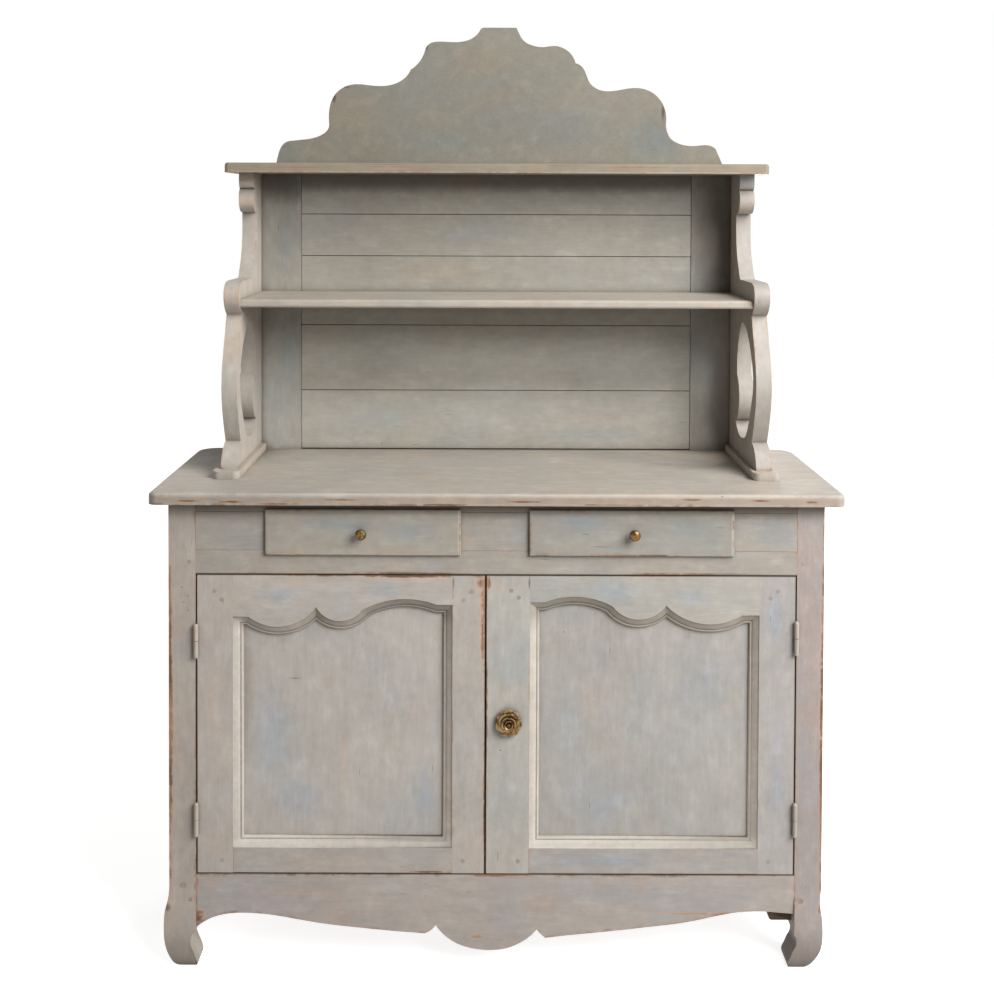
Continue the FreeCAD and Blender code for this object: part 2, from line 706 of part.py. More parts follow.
boards = []
for number in range(BACK_BOARDS):
    start = number * board_pitch - inner_half
    boards.append(lapped(
        "back_board_" + str(number), True, (s.back_rail_bottom, counter_bottom),
        (start, start + board_pitch - s.back_board_gap), (board_front, rear_face),
        start - s.lap_reach if number else None, number < BACK_BOARDS - 1))
keep("cabinet_back_boards", group("cabinet_back_boards", *boards))

# Inside: floor, shelf, cleats

inside_half = panel_x[0]


def corner_notches(name, z):
    """Cuts that let a board pass round the four posts."""
    z = (z[0] - s.overrun, z[1] + s.overrun)
    notches = []
    for tag, side in SIDES:
        x = mirrored(side, inner_half, inside_half + s.overrun)
        notches.append(block(name + "_front_notch_" + tag, x, (front_face, post_rear), z))
        notches.append(block(name + "_rear_notch_" + tag, x, (rear_post_front, rear_face), z))
    return notches


floor_z = (floor_bottom, floor_top)
floor_front = front_face + s.door_thickness + s.fit_gap
floor = block("cabinet_floor_board", (-inside_half, inside_half), (floor_front, back_rail_y[1]), floor_z)
keep("cabinet_floor", carve("cabinet_floor", floor, *corner_notches("cabinet_floor", floor_z)))

shelf_z = (s.shelf_bottom, s.shelf_bottom + s.shelf_thickness)
shelf_y = (front_face + s.shelf_setback, board_front)
shelf = block("inner_shelf_board", (-inside_half, inside_half), shelf_y, shelf_z)
keep("inner_shelf", carve("inner_shelf", shelf, *corner_notches("inner_shelf", shelf_z)))

cleats = []
for tag, side in SIDES:
    for level, inner_face, top in (
        ("floor", half_width - s.rail_thickness, floor_bottom),
        ("shelf", inside_half, s.shelf_bottom),
    ):
        x = mirrored(side, inner_face - s.cleat_width, inner_face)
        cleats.append(block(level + "_cleat_" + tag, x, side_span, (top - s.cleat_height, top)))
keep("shelf_cleats", group("shelf_cleats", *cleats))

# Drawer runners, from the drawer rail to the top back rail

drawer_openings = {
    "left": (left_drawer_start, left_drawer_end),
    "right": (right_drawer_start, right_drawer_end),
}
runner_y = (front_face + s.drawer_rail_depth, back_rail_y[0])
runners = []
for tag, edges in drawer_openings.items():
    for number, (edge, inward) in enumerate(zip(edges, (1, -1))):
        name = "runner_" + tag + "_" + str(number)
        guide_edge = edge - inward * s.guide_width
        seat_edge = guide_edge + inward * s.runner_width
        seat_x = (guide_edge, seat_edge) if inward > 0 else (seat_edge, guide_edge)
        guide_x = (guide_edge, edge) if inward > 0 else (edge, guide_edge)
        seat = block(name + "_seat", seat_x, runner_y,
                     (drawer_opening_bottom - s.runner_height, drawer_opening_bottom))
        guide = block(name + "_guide", guide_x, runner_y,
                      (drawer_opening_bottom, drawer_opening_bottom + s.guide_height))
        runners.append(join(name, seat, guide))
keep("drawer_runners", group("drawer_runners", *runners))

# Hinges: a lower half with the pin on each post, an upper half on each door

hinge_axis_x = inner_half - s.door_hinge_gap / 2
hinge_axis_y = front_face - s.barrel_proud
half_barrel = s.barrel_length / 2
hinge_starts = {
    "left": (s.door_opening_bottom + s.left_low_hinge_rise, door_opening_top - s.left_high_hinge_drop),
    "right": (s.door_opening_bottom + s.right_low_hinge_rise, door_opening_top - s.right_high_hinge_drop),
}


def barrel_end(radius, dome, start, end):
    """The outer line of a half barrel from its rounded end to its flat end."""
    rise = float(dome)
    sign = 1 if float(end) > float(start) else -1
    shoulder = (radius, start + sign * dome)
    belly = (radius * math.sqrt(0.5), start + sign * (rise * (1 - math.sqrt(0.5))))
    return (NONE, start), [belly, shoulder], [(radius, end)]


def leaf(name, face, outward, neck_z, z):
    """A hinge leaf let into an edge, with the neck that reaches the barrel."""
    depth = outward * s.leaf_thickness
    x = (face, face + depth) if float(depth) > 0 else (face + depth, face)
    plate = block(name + "_plate", x, (front_face, front_face + s.leaf_depth), z)
    neck = block(name + "_neck", x, (hinge_axis_y, front_face), neck_z)
    return [plate, neck]


leaf_recesses = defaultdict(list)


def hinge_halves(tag, side, number, start):
    """Both halves of one lift-off hinge."""
    name = "hinge_" + tag + "_" + str(number)
    axis_x = side * hinge_axis_x
    middle = start + half_barrel
    post_edge = side * inner_half
    door_edge = side * (inner_half - s.door_hinge_gap)
    z = (start, start + s.barrel_length)

    outline = barrel_end(s.barrel_radius, s.barrel_dome, NONE, half_barrel)
    lower = trace(
        *outline, [(s.pin_radius, half_barrel)], [(s.pin_radius, half_barrel + s.pin_reach)],
        [(NONE, half_barrel + s.pin_reach)])
    lower_turned = lathe(name + "_lower_barrel", lower, axis_x, hinge_axis_y, start, False)
    post_leaf = leaf(name + "_post_leaf", post_edge, side, (start + s.barrel_dome, middle), z)

    bore = s.pin_radius + s.pin_gap
    bore_top = half_barrel + s.pin_reach + s.pin_gap
    upper_start = half_barrel + s.fit_gap
    end, dome_run, straight_run = barrel_end(s.barrel_radius, s.barrel_dome, s.barrel_length, upper_start)
    upper = trace(
        end, dome_run, straight_run, [(bore, upper_start)], [(bore, bore_top)], [(NONE, bore_top)])
    upper_turned = lathe(name + "_upper_barrel", upper, axis_x, hinge_axis_y, start, False)
    door_neck = (middle + s.fit_gap, start + s.barrel_length - s.barrel_dome)
    door_leaf = leaf(name + "_door_leaf", door_edge, -side, door_neck, z)
    bore_cut = rod(name + "_bore", (axis_x, hinge_axis_y, middle), s.pin_reach + s.pin_gap, bore, UPWARD)

    leaf_recesses["front_post_" + tag].append(recess(name + "_post_recess", post_edge, side, z))
    leaf_recesses["door_" + tag].append(recess(name + "_door_recess", door_edge, -side, z))
    lower_half = join(name + "_lower", lower_turned, *post_leaf)
    upper_half = carve(name + "_upper", join(name + "_upper_whole", upper_turned, *door_leaf), bore_cut)
    return lower_half, upper_half


def recess(name, face, outward, z):
    """The shallow bed for a leaf, open towards the front and the gap."""
    deep = face + outward * s.leaf_thickness
    proud = face - outward * s.overrun
    x = (proud, deep) if outward > 0 else (deep, proud)
    return block(name, x, (front_face - s.overrun, front_face + s.leaf_depth), z)


pintles = []
door_halves = defaultdict(list)
for tag, side in SIDES:
    for number, start in enumerate(hinge_starts[tag]):
        lower_half, upper_half = hinge_halves(tag, side, number, start)
        pintles.append(lower_half)
        door_halves[tag].append(upper_half)
keep("hinge_pintles", group("hinge_pintles", *pintles))

# Front posts with scroll feet: one saw cut seen from the front, one seen from the side.
# Shares: outward from the outer face in post widths, height in foot heights

KNEE_START_SHARE = (0.0, 1.10)
FRONT_VIEW_SHARES = {
    "left": {
        "knee": [(0.03, 0.98), (0.105, 0.85)],
        "scroll": [(0.17, 0.72), (0.185, 0.57), (0.17, 0.40), (0.08, 0.23), (-0.08, 0.10), (-0.26, 0.02),
                   (-0.46, 0.0)],
        "sole": (-1.03, 0.0),
        "toe": [(-1.04, 0.04), (-1.0, 0.11)],
        "ankle": [(-0.91, 0.19), (-0.83, 0.26), (-0.79, 0.325), (-0.82, 0.40), (-0.90, 0.47), (-1.0, 0.51)],
    },
    "right": {
        "knee": [(-0.04, 0.95), (-0.01, 0.78)],
        "scroll": [(0.03, 0.68), (0.045, 0.55), (0.035, 0.38), (-0.06, 0.23), (-0.25, 0.115), (-0.45, 0.035),
                   (-0.62, 0.0)],
        "sole": (-1.20, 0.0),
        "toe": [(-1.235, 0.045), (-1.20, 0.11)],
        "ankle": [(-1.12, 0.17), (-1.03, 0.25), (-0.95, 0.30), (-0.915, 0.365), (-0.94, 0.43), (-1.0, 0.47)],
    },
}
SIDE_VIEW_SHARES = {
    "knee": [(0.015, 0.97), (0.06, 0.84)],
    "scroll": [(0.095, 0.66), (0.105, 0.46), (0.09, 0.22), (0.055, 0.06), (0.0, 0.0)],
    "sole": (-1.0, 0.0),
    "toe": [],
    "ankle": [],
}


def foot_loop(outer, outward, width, shares):
    """A post's outline with its scroll foot."""
    def at(share):
        return (outer + outward * share[0] * width, share[1] * s.foot_height)

    runs = [[at(spot) for spot in shares[part]] for part in ("knee", "scroll", "toe", "ankle")]
    knee, scroll, toe, ankle = runs
    inner_line = [(outer - outward * width, counter_bottom)]
    return trace(
        (outer, counter_bottom), [at(KNEE_START_SHARE)], knee, scroll, [at(shares["sole"])],
        *[run for run in (toe, ankle) if run], inner_line)


for tag, side in SIDES:
    name = "front_post_" + tag
    low_x = mirrored(side, inner_half, half_width)[0] - s.post_width / 2
    front_loop = foot_loop(side * half_width, side, s.post_width, FRONT_VIEW_SHARES[tag])
    front_cut = slab(name + "_front_cut", "front", [front_loop], front_face - s.post_depth / 2,
                     2 * s.post_depth)
    side_loop = foot_loop(front_face, -1, s.post_depth, SIDE_VIEW_SHARES)
    side_cut = slab(name + "_side_cut", "side", [side_loop], low_x, 2 * s.post_width)
    sawn = overlap(name + "_sawn", front_cut, side_cut)
    groove = block(name + "_panel_groove", *side_grooves[tag])
    keep(name, chopped(name, sawn, groove, *leaf_recesses[name]))

rear = []
for tag, side in SIDES:
    name = "rear_post_" + tag
    x = mirrored(side, inner_half, half_width)
    blank = block(name + "_blank", x, (rear_post_front, rear_face), (NONE, counter_bottom))
    rear.append(chopped(name, blank, block(name + "_panel_groove", *side_grooves[tag])))
keep("rear_posts", group("rear_posts", *rear))

# Doors. The upper edge of the opening, from the hinge side: shares of the opening's width and of the rise

DOOR_CURVE_SHARES = {
    "left": {
        "kink": (0.070, 0.0), "first_low": (0.186, -0.54), "cusp": (0.378, 0.54),
        "second_low": (0.472, -0.22), "sway": (0.589, 0.38), "arch": (0.766, 1.0),
        "step": (0.927, 0.69), "end": (1.0, 0.676),
    },
    "right": {
        "kink": (0.074, 0.0), "first_low": (0.226, -0.50), "cusp": (0.406, 0.53),
        "second_low": (0.500, -0.23), "sway": (0.640, 0.48), "arch": (0.812, 1.0),
        "step": (0.938, 0.68), "end": (1.0, 0.676),
    },
}
# Moulding section, from the frame inwards: shares of the moulding's width and of the depth to the panel

MOULDING_SHARES = [
    (0.0, 0.0), (0.02, 0.10), (0.20, 0.22), (0.40, 0.34), (0.56, 0.47), (0.66, 0.62), (0.70, 0.66),
    (0.74, 0.58), (0.82, 0.57), (0.90, 0.66), (0.96, 0.82), (1.0, 1.0),
]
door_z = (s.door_opening_bottom + s.door_height_gap, door_opening_top - s.door_height_gap)
door_back = front_face + s.door_thickness
panel_front = front_face + s.door_panel_depth
panel_back = panel_front + s.door_panel_thickness
door_tenon_y = (front_face + s.door_tenon_depth, front_face + s.door_tenon_depth + s.door_tenon_thickness)
opening_low = door_z[0] + s.door_bottom_rail


def door_curve(tag, side, shoulder, hinge_x, width):
    """Named places along the upper edge of the panel opening."""
    return {
        key: (hinge_x - side * share[0] * width, shoulder + share[1] * s.door_curve_rise)
        for key, share in DOOR_CURVE_SHARES[tag].items()
    }


def upper_runs(curve):
    """The opening's upper edge, from the meeting side to the hinge side."""
    return [
        [curve["step"]],
        [curve["arch"], curve["sway"]],
        [curve["second_low"], curve["cusp"]],
        [curve["first_low"], curve["kink"]],
    ]


def moulding_ring(loop):
    """The four mouldings in one: a frame whose section steps down towards the panel."""
    outer = Part.Wire([curve.toShape() for curve in loop])
    depth = float(s.door_panel_depth)
    levels = []
    for inward, down in MOULDING_SHARES:
        inward = inward * float(s.moulding_width)
        wire = outer.makeOffset2D(-inward, 2, False, False, False) if inward else outer.copy()
        wire.translate(Vector(0, 0, -down * depth))
        levels.append(wire)
    hollow = Part.makeLoft(levels, True, True)
    return Part.Face(outer).extrude(Vector(0, 0, -depth)).cut(hollow)


def mitred(ring, corners):
    """Cuts the ring at its corners into the hinge, meeting, bottom and top mouldings."""
    reach = float(s.moulding_width) + float(s.overrun)
    inward = [(1, 1), (-1, 1), (-1, -1), (1, -1)]
    low_left, low_right, high_right, high_left = [point(*corner) for corner in corners]
    outer = [low_left, low_right, high_right, high_left]
    inner = [spot + Vector(dx * reach, dy * reach, 0) for spot, (dx, dy) in zip(outer, inward)]
    depth = float(s.door_panel_depth)
    wedges = []
    for first, second in ((3, 0), (1, 2), (0, 1)):
        wire = Part.makePolygon([outer[first], inner[first], inner[second], outer[second], outer[first]])
        wedges.append(Part.Face(wire).extrude(Vector(0, 0, -depth)))
    strips = [ring.common(wedge) for wedge in wedges]
    strips.append(ring.cut(wedges[0].multiFuse(wedges[1:])))
    solids = [solid for strip in strips for solid in strip.Solids]
    return Part.makeCompound(solids)


def build_door(tag, side, shoulder, meeting_stile):
    """One framed and panelled door in its closed place."""
    name = "door_" + tag
    hinge_edge = side * (inner_half - s.door_hinge_gap)
    meeting_edge = s.door_meeting_place + side * s.door_meeting_gap / 2
    hinge_x = hinge_edge - side * s.hinge_stile_width
    meeting_x = meeting_edge + side * meeting_stile
    low_x, high_x = (hinge_x, meeting_x) if side < 0 else (meeting_x, hinge_x)
    width = high_x - low_x
    door_y = (front_face, door_back)
    stiles = ("door_left_hinge_stile", "door_left_meeting_stile")
    if side > 0:
        stiles = ("door_right_meeting_stile", "door_right_hinge_stile")

    curve = door_curve(tag, side, shoulder, hinge_x, width)
    shoulder_spot = (hinge_x, shoulder)
    top_low = shoulder - s.door_curve_rise
    top_high = shoulder + s.door_curve_rise
    rail_loop = trace(
        curve["end"], *upper_runs(curve), [shoulder_spot], [(hinge_x, door_z[1])], [(meeting_x, door_z[1])])
    top_tenon_z = (top_high - s.door_panel_groove, door_z[1] - s.tenon_shoulder)
    top_rail = tenoned(
        name + "_top_rail_pegged",
        slab(name + "_top_rail_blank", "front", [rail_loop], front_face, s.door_thickness),
        (low_x, high_x), door_tenon_y, top_tenon_z, s.door_tenon_reach, stiles,
        [top_tenon_z[0] + s.tenon_shoulder, (top_tenon_z[0] + top_tenon_z[1]) / 2], name)
    slot = block(name + "_top_slot", (low_x, high_x), (panel_front, panel_back),
                 (top_low, top_high + s.door_panel_groove))
    keep(name + "_top_rail", carve(name + "_top_rail", top_rail, slot))

    bottom_tenon_z = (door_z[0] + s.tenon_shoulder, opening_low - s.door_panel_groove)
    bottom_rail = tenoned(
        name + "_bottom_rail_pegged",
        block(name + "_bottom_rail_board", (low_x, high_x), door_y, (door_z[0], opening_low)),
        (low_x, high_x), door_tenon_y, bottom_tenon_z, s.door_tenon_reach, stiles,
        [(bottom_tenon_z[0] + bottom_tenon_z[1]) / 2], name)
    groove = block(name + "_bottom_groove", (low_x, high_x), (panel_front, panel_back),
                   (opening_low - s.door_panel_groove, opening_low))
    keep(name + "_bottom_rail", carve(name + "_bottom_rail", bottom_rail, groove))

    panel_edge_z = (opening_low - s.door_panel_groove, top_high + s.door_panel_groove)
    for stile, inner_x, outer_x in (
        (name + "_hinge_stile", hinge_x, hinge_edge),
        (name + "_meeting_stile", meeting_x, meeting_edge),
    ):
        toward = -1 if float(outer_x) > float(inner_x) else 1
        x = (outer_x, inner_x) if toward > 0 else (inner_x, outer_x)
        groove_x = (inner_x - s.door_panel_groove, inner_x) if toward > 0 else (
            inner_x, inner_x + s.door_panel_groove)
        cuts = [block(stile + "_groove", groove_x, (panel_front, panel_back), panel_edge_z)]
        if stile.endswith("hinge_stile"):
            cuts += leaf_recesses[name]
        elif side > 0:
            cuts.append(rod(
                stile + "_spindle_bore", (knob_x, front_face - s.overrun, s.knob_height),
                s.door_thickness + 2 * s.overrun, s.spindle_radius + s.fit_gap, BACKWARD))
        keep(stile, chopped(stile, block(stile + "_board", x, door_y, door_z), *cuts))

    room = s.door_panel_groove - s.door_panel_room
    keep(name + "_panel", block(
        name + "_panel", (low_x - room, high_x + room), (panel_front, panel_back),
        (opening_low - room, top_high + room)))

    loop = trace(
        (meeting_x, opening_low), [curve["end"]], *upper_runs(curve), [shoulder_spot],
        [(hinge_x, opening_low)])
    left_top, right_top = (shoulder_spot, curve["end"]) if side < 0 else (curve["end"], shoulder_spot)
    corners = [(low_x, opening_low), (high_x, opening_low), right_top, left_top]
    mouldings = doc.addObject("Part::Feature", name + "_mouldings")
    mouldings.Shape = mitred(moulding_ring(loop), corners)
    mouldings.Placement = Placement(Vector(0, float(front_face), 0), Rotation(Vector(1, 0, 0), 90))
    keep(name + "_mouldings", mouldings)
    keep(name + "_hinge_halves", group(name + "_hinge_halves", *door_halves[tag]))
    peg_group(name + "_pegs", name)


build_door("left", -1, door_opening_top - s.left_shoulder_drop, s.left_meeting_stile)
build_door("right", 1, door_opening_top - s.right_shoulder_drop, s.right_meeting_stile)
peg_group("carcass_pegs", "carcass")

# Rosette knob on the right door: layers of petals, spindle and latch tongue

# Layers from the back: share of the outer size, petals, share of the petals' depth, turn in petals,
# share that is left of the layer at its front
ROSETTE_LAYER_SHARES = [(1.0, 14, 0.055, 0.0, 0.86), (0.78, 8, 0.10, 0.5, 0.76), (0.50, 5, 0.14, 0.25, 0.60)]
POINT_SHARE = 0.09


def petal_loop(size_share, petals, depth_share, turn, pointed):
    """A closed scalloped line; the outermost one runs to a point above and below."""
    points = []
    steps = petals * 4
    for step in range(steps):
        angle = 2 * math.pi * step / steps
        lobes = 1 - depth_share * (1 - abs(math.cos(petals / 2 * angle + turn * math.pi))) * 2
        crest = 1 + POINT_SHARE * abs(math.sin(angle)) ** 12 if pointed else 1
        reach = size_share * lobes * crest
        points.append((
            knob_x + math.cos(angle) * reach * s.rosette_width / 2,
            s.knob_height + math.sin(angle) * reach * s.rosette_height / 2 / (1 + POINT_SHARE)))
    smooth = Part.BSplineCurve()
    smooth.interpolate(Points=[point(*spot) for spot in points], PeriodicFlag=True)
    return [smooth]


rosette_back = front_face - s.rosette_standoff
layers = []
for number, (size_share, petals, depth_share, turn, front_share) in enumerate(ROSETTE_LAYER_SHARES):
    rims = []
    for step, share in enumerate((1, front_share)):
        loop = petal_loop(size_share * share, petals, depth_share, turn, number == 0)
        rim = Part.Wire([curve.toShape() for curve in loop])
        rim.translate(Vector(0, 0, step * float(s.rosette_layer)))
        rims.append(rim)
    layer = doc.addObject("Part::Feature", "rosette_layer_" + str(number))
    layer.Shape = Part.makeLoft(rims, True, True)
    back = rosette_back - number * s.rosette_layer
    layer.Placement = Placement(Vector(0, float(back), 0), Rotation(Vector(1, 0, 0), 90))
    layers.append(layer)
bud = doc.addObject("Part::Sphere", "rosette_bud")
bind(bud, "Radius", s.rosette_bud_radius)
place(bud, (knob_x, rosette_back - len(ROSETTE_LAYER_SHARES) * s.rosette_layer, s.knob_height))
collar = rod("rosette_collar", (knob_x, rosette_back, s.knob_height),
             s.rosette_standoff - s.fit_gap, s.spindle_collar_radius, BACKWARD)
tongue_front = door_back + s.fit_gap
spindle = rod("rosette_spindle", (knob_x, rosette_back, s.knob_height),
              tongue_front - rosette_back, s.spindle_radius, BACKWARD)
keep("rosette_knob", join("rosette_knob", *layers, bud, collar, spindle))

half_tongue = s.tongue_width / 2
tongue_loop = trace(
    (knob_x - half_tongue, s.knob_height),
    [(knob_x - half_tongue, s.knob_height - s.tongue_length + half_tongue)],
    [(knob_x, s.knob_height - s.tongue_length),
     (knob_x + half_tongue, s.knob_height - s.tongue_length + half_tongue)],
    [(knob_x + half_tongue, s.knob_height)],
    [(knob_x, s.knob_height + half_tongue), (knob_x - half_tongue, s.knob_height)])
keep("latch_tongue", slab("latch_tongue", "front", [tongue_loop], tongue_front, s.tongue_thickness))

# Slide bolt on the inside of the left door

plate_top = door_z[1] - s.bolt_plate_drop
plate_z = (plate_top - s.bolt_plate_length, plate_top)
plate_y = (door_back, door_back + s.bolt_plate_thickness)
staple_half = s.bolt_radius + s.fit_gap + s.staple_wall
staple_y = (plate_y[1], bolt_depth + staple_half)
bolt_parts = [block(
    "bolt_plate", (bolt_x - s.bolt_plate_width / 2, bolt_x + s.bolt_plate_width / 2),
    plate_y, plate_z)]
for tag, z in (
    ("low", (plate_z[0], plate_z[0] + s.staple_height)),
    ("high", (plate_z[1] - s.staple_height, plate_z[1])),
):
    bolt_parts.append(block(
        "bolt_staple_" + tag, (bolt_x - staple_half, bolt_x + staple_half), staple_y, z))
bolt_way = rod("bolt_way", (bolt_x, bolt_depth, plate_z[0] - s.overrun),
               s.bolt_plate_length + 2 * s.overrun, s.bolt_radius + s.fit_gap, UPWARD)
keep("left_bolt_staples", carve("left_bolt_staples", join("left_bolt_staples_whole", *bolt_parts), bolt_way))

bolt_top = door_z[1] - s.fit_gap
bolt_bar = rod("left_bolt_bar", (bolt_x, bolt_depth, bolt_top - s.bolt_length),
               s.bolt_length, s.bolt_radius, UPWARD)
bolt_stem_height = plate_z[0] + s.staple_height + s.fit_gap + s.bolt_knob_radius
bolt_stem = rod("left_bolt_stem", (bolt_x, bolt_depth, bolt_stem_height),
                3 * s.bolt_radius, s.bolt_radius / 2, BACKWARD)
bolt_knob = doc.addObject("Part::Sphere", "left_bolt_knob")
bind(bolt_knob, "Radius", s.bolt_knob_radius)
place(bolt_knob, (bolt_x, bolt_depth + 3 * s.bolt_radius, bolt_stem_height))
keep("left_slide_bolt", join("left_slide_bolt", bolt_bar, bolt_stem, bolt_knob))

# Drawers

drawer_back_end = back_rail_y[0] - s.drawer_back_room
drawer_knob_height = drawer_opening_bottom + s.drawer_knob_rise

# Knob profile from the drawer front outwards: shares of the reach and of the radius
KNOB_FOOT_SHARES = [(0.0, 0.62), (0.10, 0.58), (0.16, 0.40)]
KNOB_NECK_SHARES = [(0.30, 0.33), (0.42, 0.42), (0.50, 0.80)]
KNOB_BALL_SHARES = [(0.62, 1.0), (0.78, 0.98), (0.92, 0.72), (1.0, 0.0)]


def build_drawer(tag, edges, knob_offset):
    """One drawer, shut: lipped front, sides, back, bottom and knob."""
    name = "drawer_" + tag
    low, high = edges
    box_x = (low + s.drawer_side_gap, high - s.drawer_side_gap)
    base = drawer_opening_bottom + s.fit_gap
    lip_front = front_face - s.drawer_lip_proud
    lip_back = front_face - s.fit_gap
    front_back = lip_front + s.drawer_front_thickness
    lip_x = (low - s.drawer_lip_side, high + s.drawer_lip_side)
    lip_z = (drawer_opening_bottom - s.drawer_lip_bottom, drawer_opening_top + s.drawer_lip_top)
    inner_z = (base, drawer_opening_top - s.drawer_top_gap)
    lip = slab(name + "_lip", "front", [rectangle(lip_x, lip_z)], lip_front, lip_back - lip_front)
    soften(lip, s.drawer_edge_round, lambda edge: lies_at(edge, "Y", lip_front))
    inner = block(name + "_front_inner", box_x, (lip_back, front_back), inner_z)
    bottom_z = (base + s.drawer_bottom_rise, base + s.drawer_bottom_rise + s.drawer_bottom_thickness)
    side = s.drawer_side_thickness
    bottom_x = (box_x[0] + side - s.drawer_groove, box_x[1] - side + s.drawer_groove)
    bottom_y = (front_back - s.drawer_groove, drawer_back_end)
    bottom = (bottom_x, bottom_y, bottom_z)
    front_groove = block(name + "_front_groove", *bottom)
    keep(name + "_front", carve(name + "_front", join(name + "_front_whole", lip, inner), front_groove))

    side_z = (base, drawer_opening_top - s.drawer_side_drop)
    side_y = (front_back, drawer_back_end)
    sides = []
    for number, x in enumerate(((box_x[0], box_x[0] + side), (box_x[1] - side, box_x[1]))):
        board = block(name + "_side_board_" + str(number), x, side_y, side_z)
        groove = block(name + "_side_groove_" + str(number), *bottom)
        sides.append(carve(name + "_side_" + str(number), board, groove))
    keep(name + "_sides", group(name + "_sides", *sides))
    keep(name + "_back", block(
        name + "_back", (box_x[0] + side, box_x[1] - side), (drawer_back_end - side, drawer_back_end),
        (bottom_z[1], side_z[1])))
    keep(name + "_bottom", block(name + "_bottom", *bottom))

    def turned(shares):
        return (-shares[0] * s.drawer_knob_reach, shares[1] * s.drawer_knob_radius)

    profile = trace(
        (NONE, NONE), [turned(KNOB_FOOT_SHARES[0])], [turned(spot) for spot in KNOB_FOOT_SHARES[1:]],
        [turned(spot) for spot in KNOB_NECK_SHARES], [turned(spot) for spot in KNOB_BALL_SHARES])
    knob_middle = (low + high) / 2 + knob_offset
    keep(name + "_knob", lathe(name + "_knob", profile, knob_middle, lip_front, drawer_knob_height, True))


build_drawer("left", drawer_openings["left"], s.left_knob_offset)
build_drawer("right", drawer_openings["right"], s.right_knob_offset)

# Plate rack: sled feet, side boards, shelves, crest and back

counter_rear = s.counter_depth / 2
sled_top = s.counter_top + s.sled_height
sled_rear = counter_rear - s.sled_rear_setback
sled_front = sled_rear - s.sled_length
rack_half_width = s.counter_width / 2 - s.rack_end_setback
rack_inner = rack_half_width - s.rack_side_thickness
rack_rear = counter_rear - s.rack_rear_setback
rack_top = s.counter_top + s.rack_height
rack_side_height = rack_top - sled_top
rack_back_front = rack_rear - s.rack_back_inset - s.rack_back_thickness
mid_shelf_bottom = s.counter_top + s.mid_shelf_rise
mid_shelf_front = rack_back_front - s.mid_shelf_depth
top_shelf_half_width = rack_half_width + s.top_shelf_overhang
top_shelf_front = counter_rear - s.top_shelf_depth
crest_half_width = top_shelf_half_width - s.crest_end_setback
crest_front = counter_rear - s.crest_setback - s.crest_thickness
front_dowel_place = rack_rear - s.front_dowel_setback
rear_dowel_place = rack_rear - s.rear_dowel_setback
corbel_dowel_place = rack_rear - s.corbel_dowel_setback
top_shelf_z = (rack_top, rack_top + s.top_shelf_thickness)

dowel_places = []
side_middle = (rack_inner + rack_half_width) / 2
for tag, side in SIDES:
    for y in (front_dowel_place, rear_dowel_place):
        dowel_places.append((side * side_middle, y, (s.counter_top - s.dowel_grip, sled_top + s.dowel_grip)))
    for y in (corbel_dowel_place, rear_dowel_place):
        dowel_places.append((side * side_middle, y, (rack_top - s.dowel_grip, rack_top + s.dowel_grip)))
crest_middle = crest_front + s.crest_thickness / 2
for x in (-s.crest_dowel_place, NONE, s.crest_dowel_place):
    dowel_places.append((x, crest_middle, (top_shelf_z[1] - s.dowel_grip, top_shelf_z[1] + s.dowel_grip)))


def dowel_rods(name):
    """A rod for each dowel, to make or to bore with."""
    return [
        rod(name + "_" + str(number), (x, y, z[0]), z[1] - z[0], s.dowel_radius, UPWARD)
        for number, (x, y, z) in enumerate(dowel_places)
    ]


keep("rack_dowels", group("rack_dowels", *dowel_rods("rack_dowel")))


def bored(name, blank, *cuts):
    """A rack piece with its dowel holes."""
    return keep(name, carve(name, blank, *cuts, *dowel_rods(name + "_dowel_bore")))


counter = slab(
    "counter_board", "top",
    [rounded_rectangle(
        (-s.counter_width / 2, s.counter_width / 2), (-s.counter_depth / 2, s.counter_depth / 2),
        s.counter_front_corner, s.counter_rear_corner)],
    counter_bottom, s.counter_thickness)
soften(counter, s.counter_edge_round, lambda edge: lies_at(edge, "Z", s.counter_top))
bored("countertop", counter)

# Side board outline: shares of its depth, forward from the rear edge, and of its height
SIDE_COVE_SHARES = [(0.967, 0.041), (0.846, 0.081)]
SIDE_BELLY_SHARES = [(0.925, 0.161), (0.976, 0.253), (0.943, 0.356), (0.858, 0.450), (0.804, 0.512)]
SIDE_EAR_SHARES = [(0.861, 0.531), (0.901, 0.562), (0.895, 0.600), (0.846, 0.619), (0.783, 0.625)]
SIDE_VALLEY_SHARE = (0.407, 0.625)
SIDE_SWEEP_SHARES = [(0.337, 0.671), (0.280, 0.725), (0.254, 0.790), (0.254, 0.862)]
SIDE_CORBEL_SHARES = [(0.335, 0.867), (0.377, 0.892), (0.375, 0.926), (0.342, 0.944)]
SIDE_CAP_SHARES = [(0.366, 0.955), (0.374, 0.974)]
SIDE_CORBEL_TOP_SHARE = (0.374, 1.0)
HOLE_TOP_SHARE = (0.482, 0.474)
HOLE_FRONT_SHARES = [(0.663, 0.450), (0.774, 0.395), (0.858, 0.324), (0.873, 0.269), (0.828, 0.213),
                     (0.738, 0.139), (0.648, 0.087), (0.551, 0.070)]
HOLE_HEEL_SHARES = [(0.395, 0.073), (0.286, 0.111)]
HOLE_LOBE_SHARES = [(0.413, 0.197), (0.328, 0.281)]
HOLE_BACK_SHARES = [(0.352, 0.385), (0.482, 0.474)]


def on_side(shares):
    """A place on a side board from its shares."""
    return (rack_rear - shares[0] * s.rack_side_depth, sled_top + shares[1] * rack_side_height)


def side_runs(*tables):
    """Runs of places from tables of shares."""
    return [[on_side(spot) for spot in table] for table in tables]


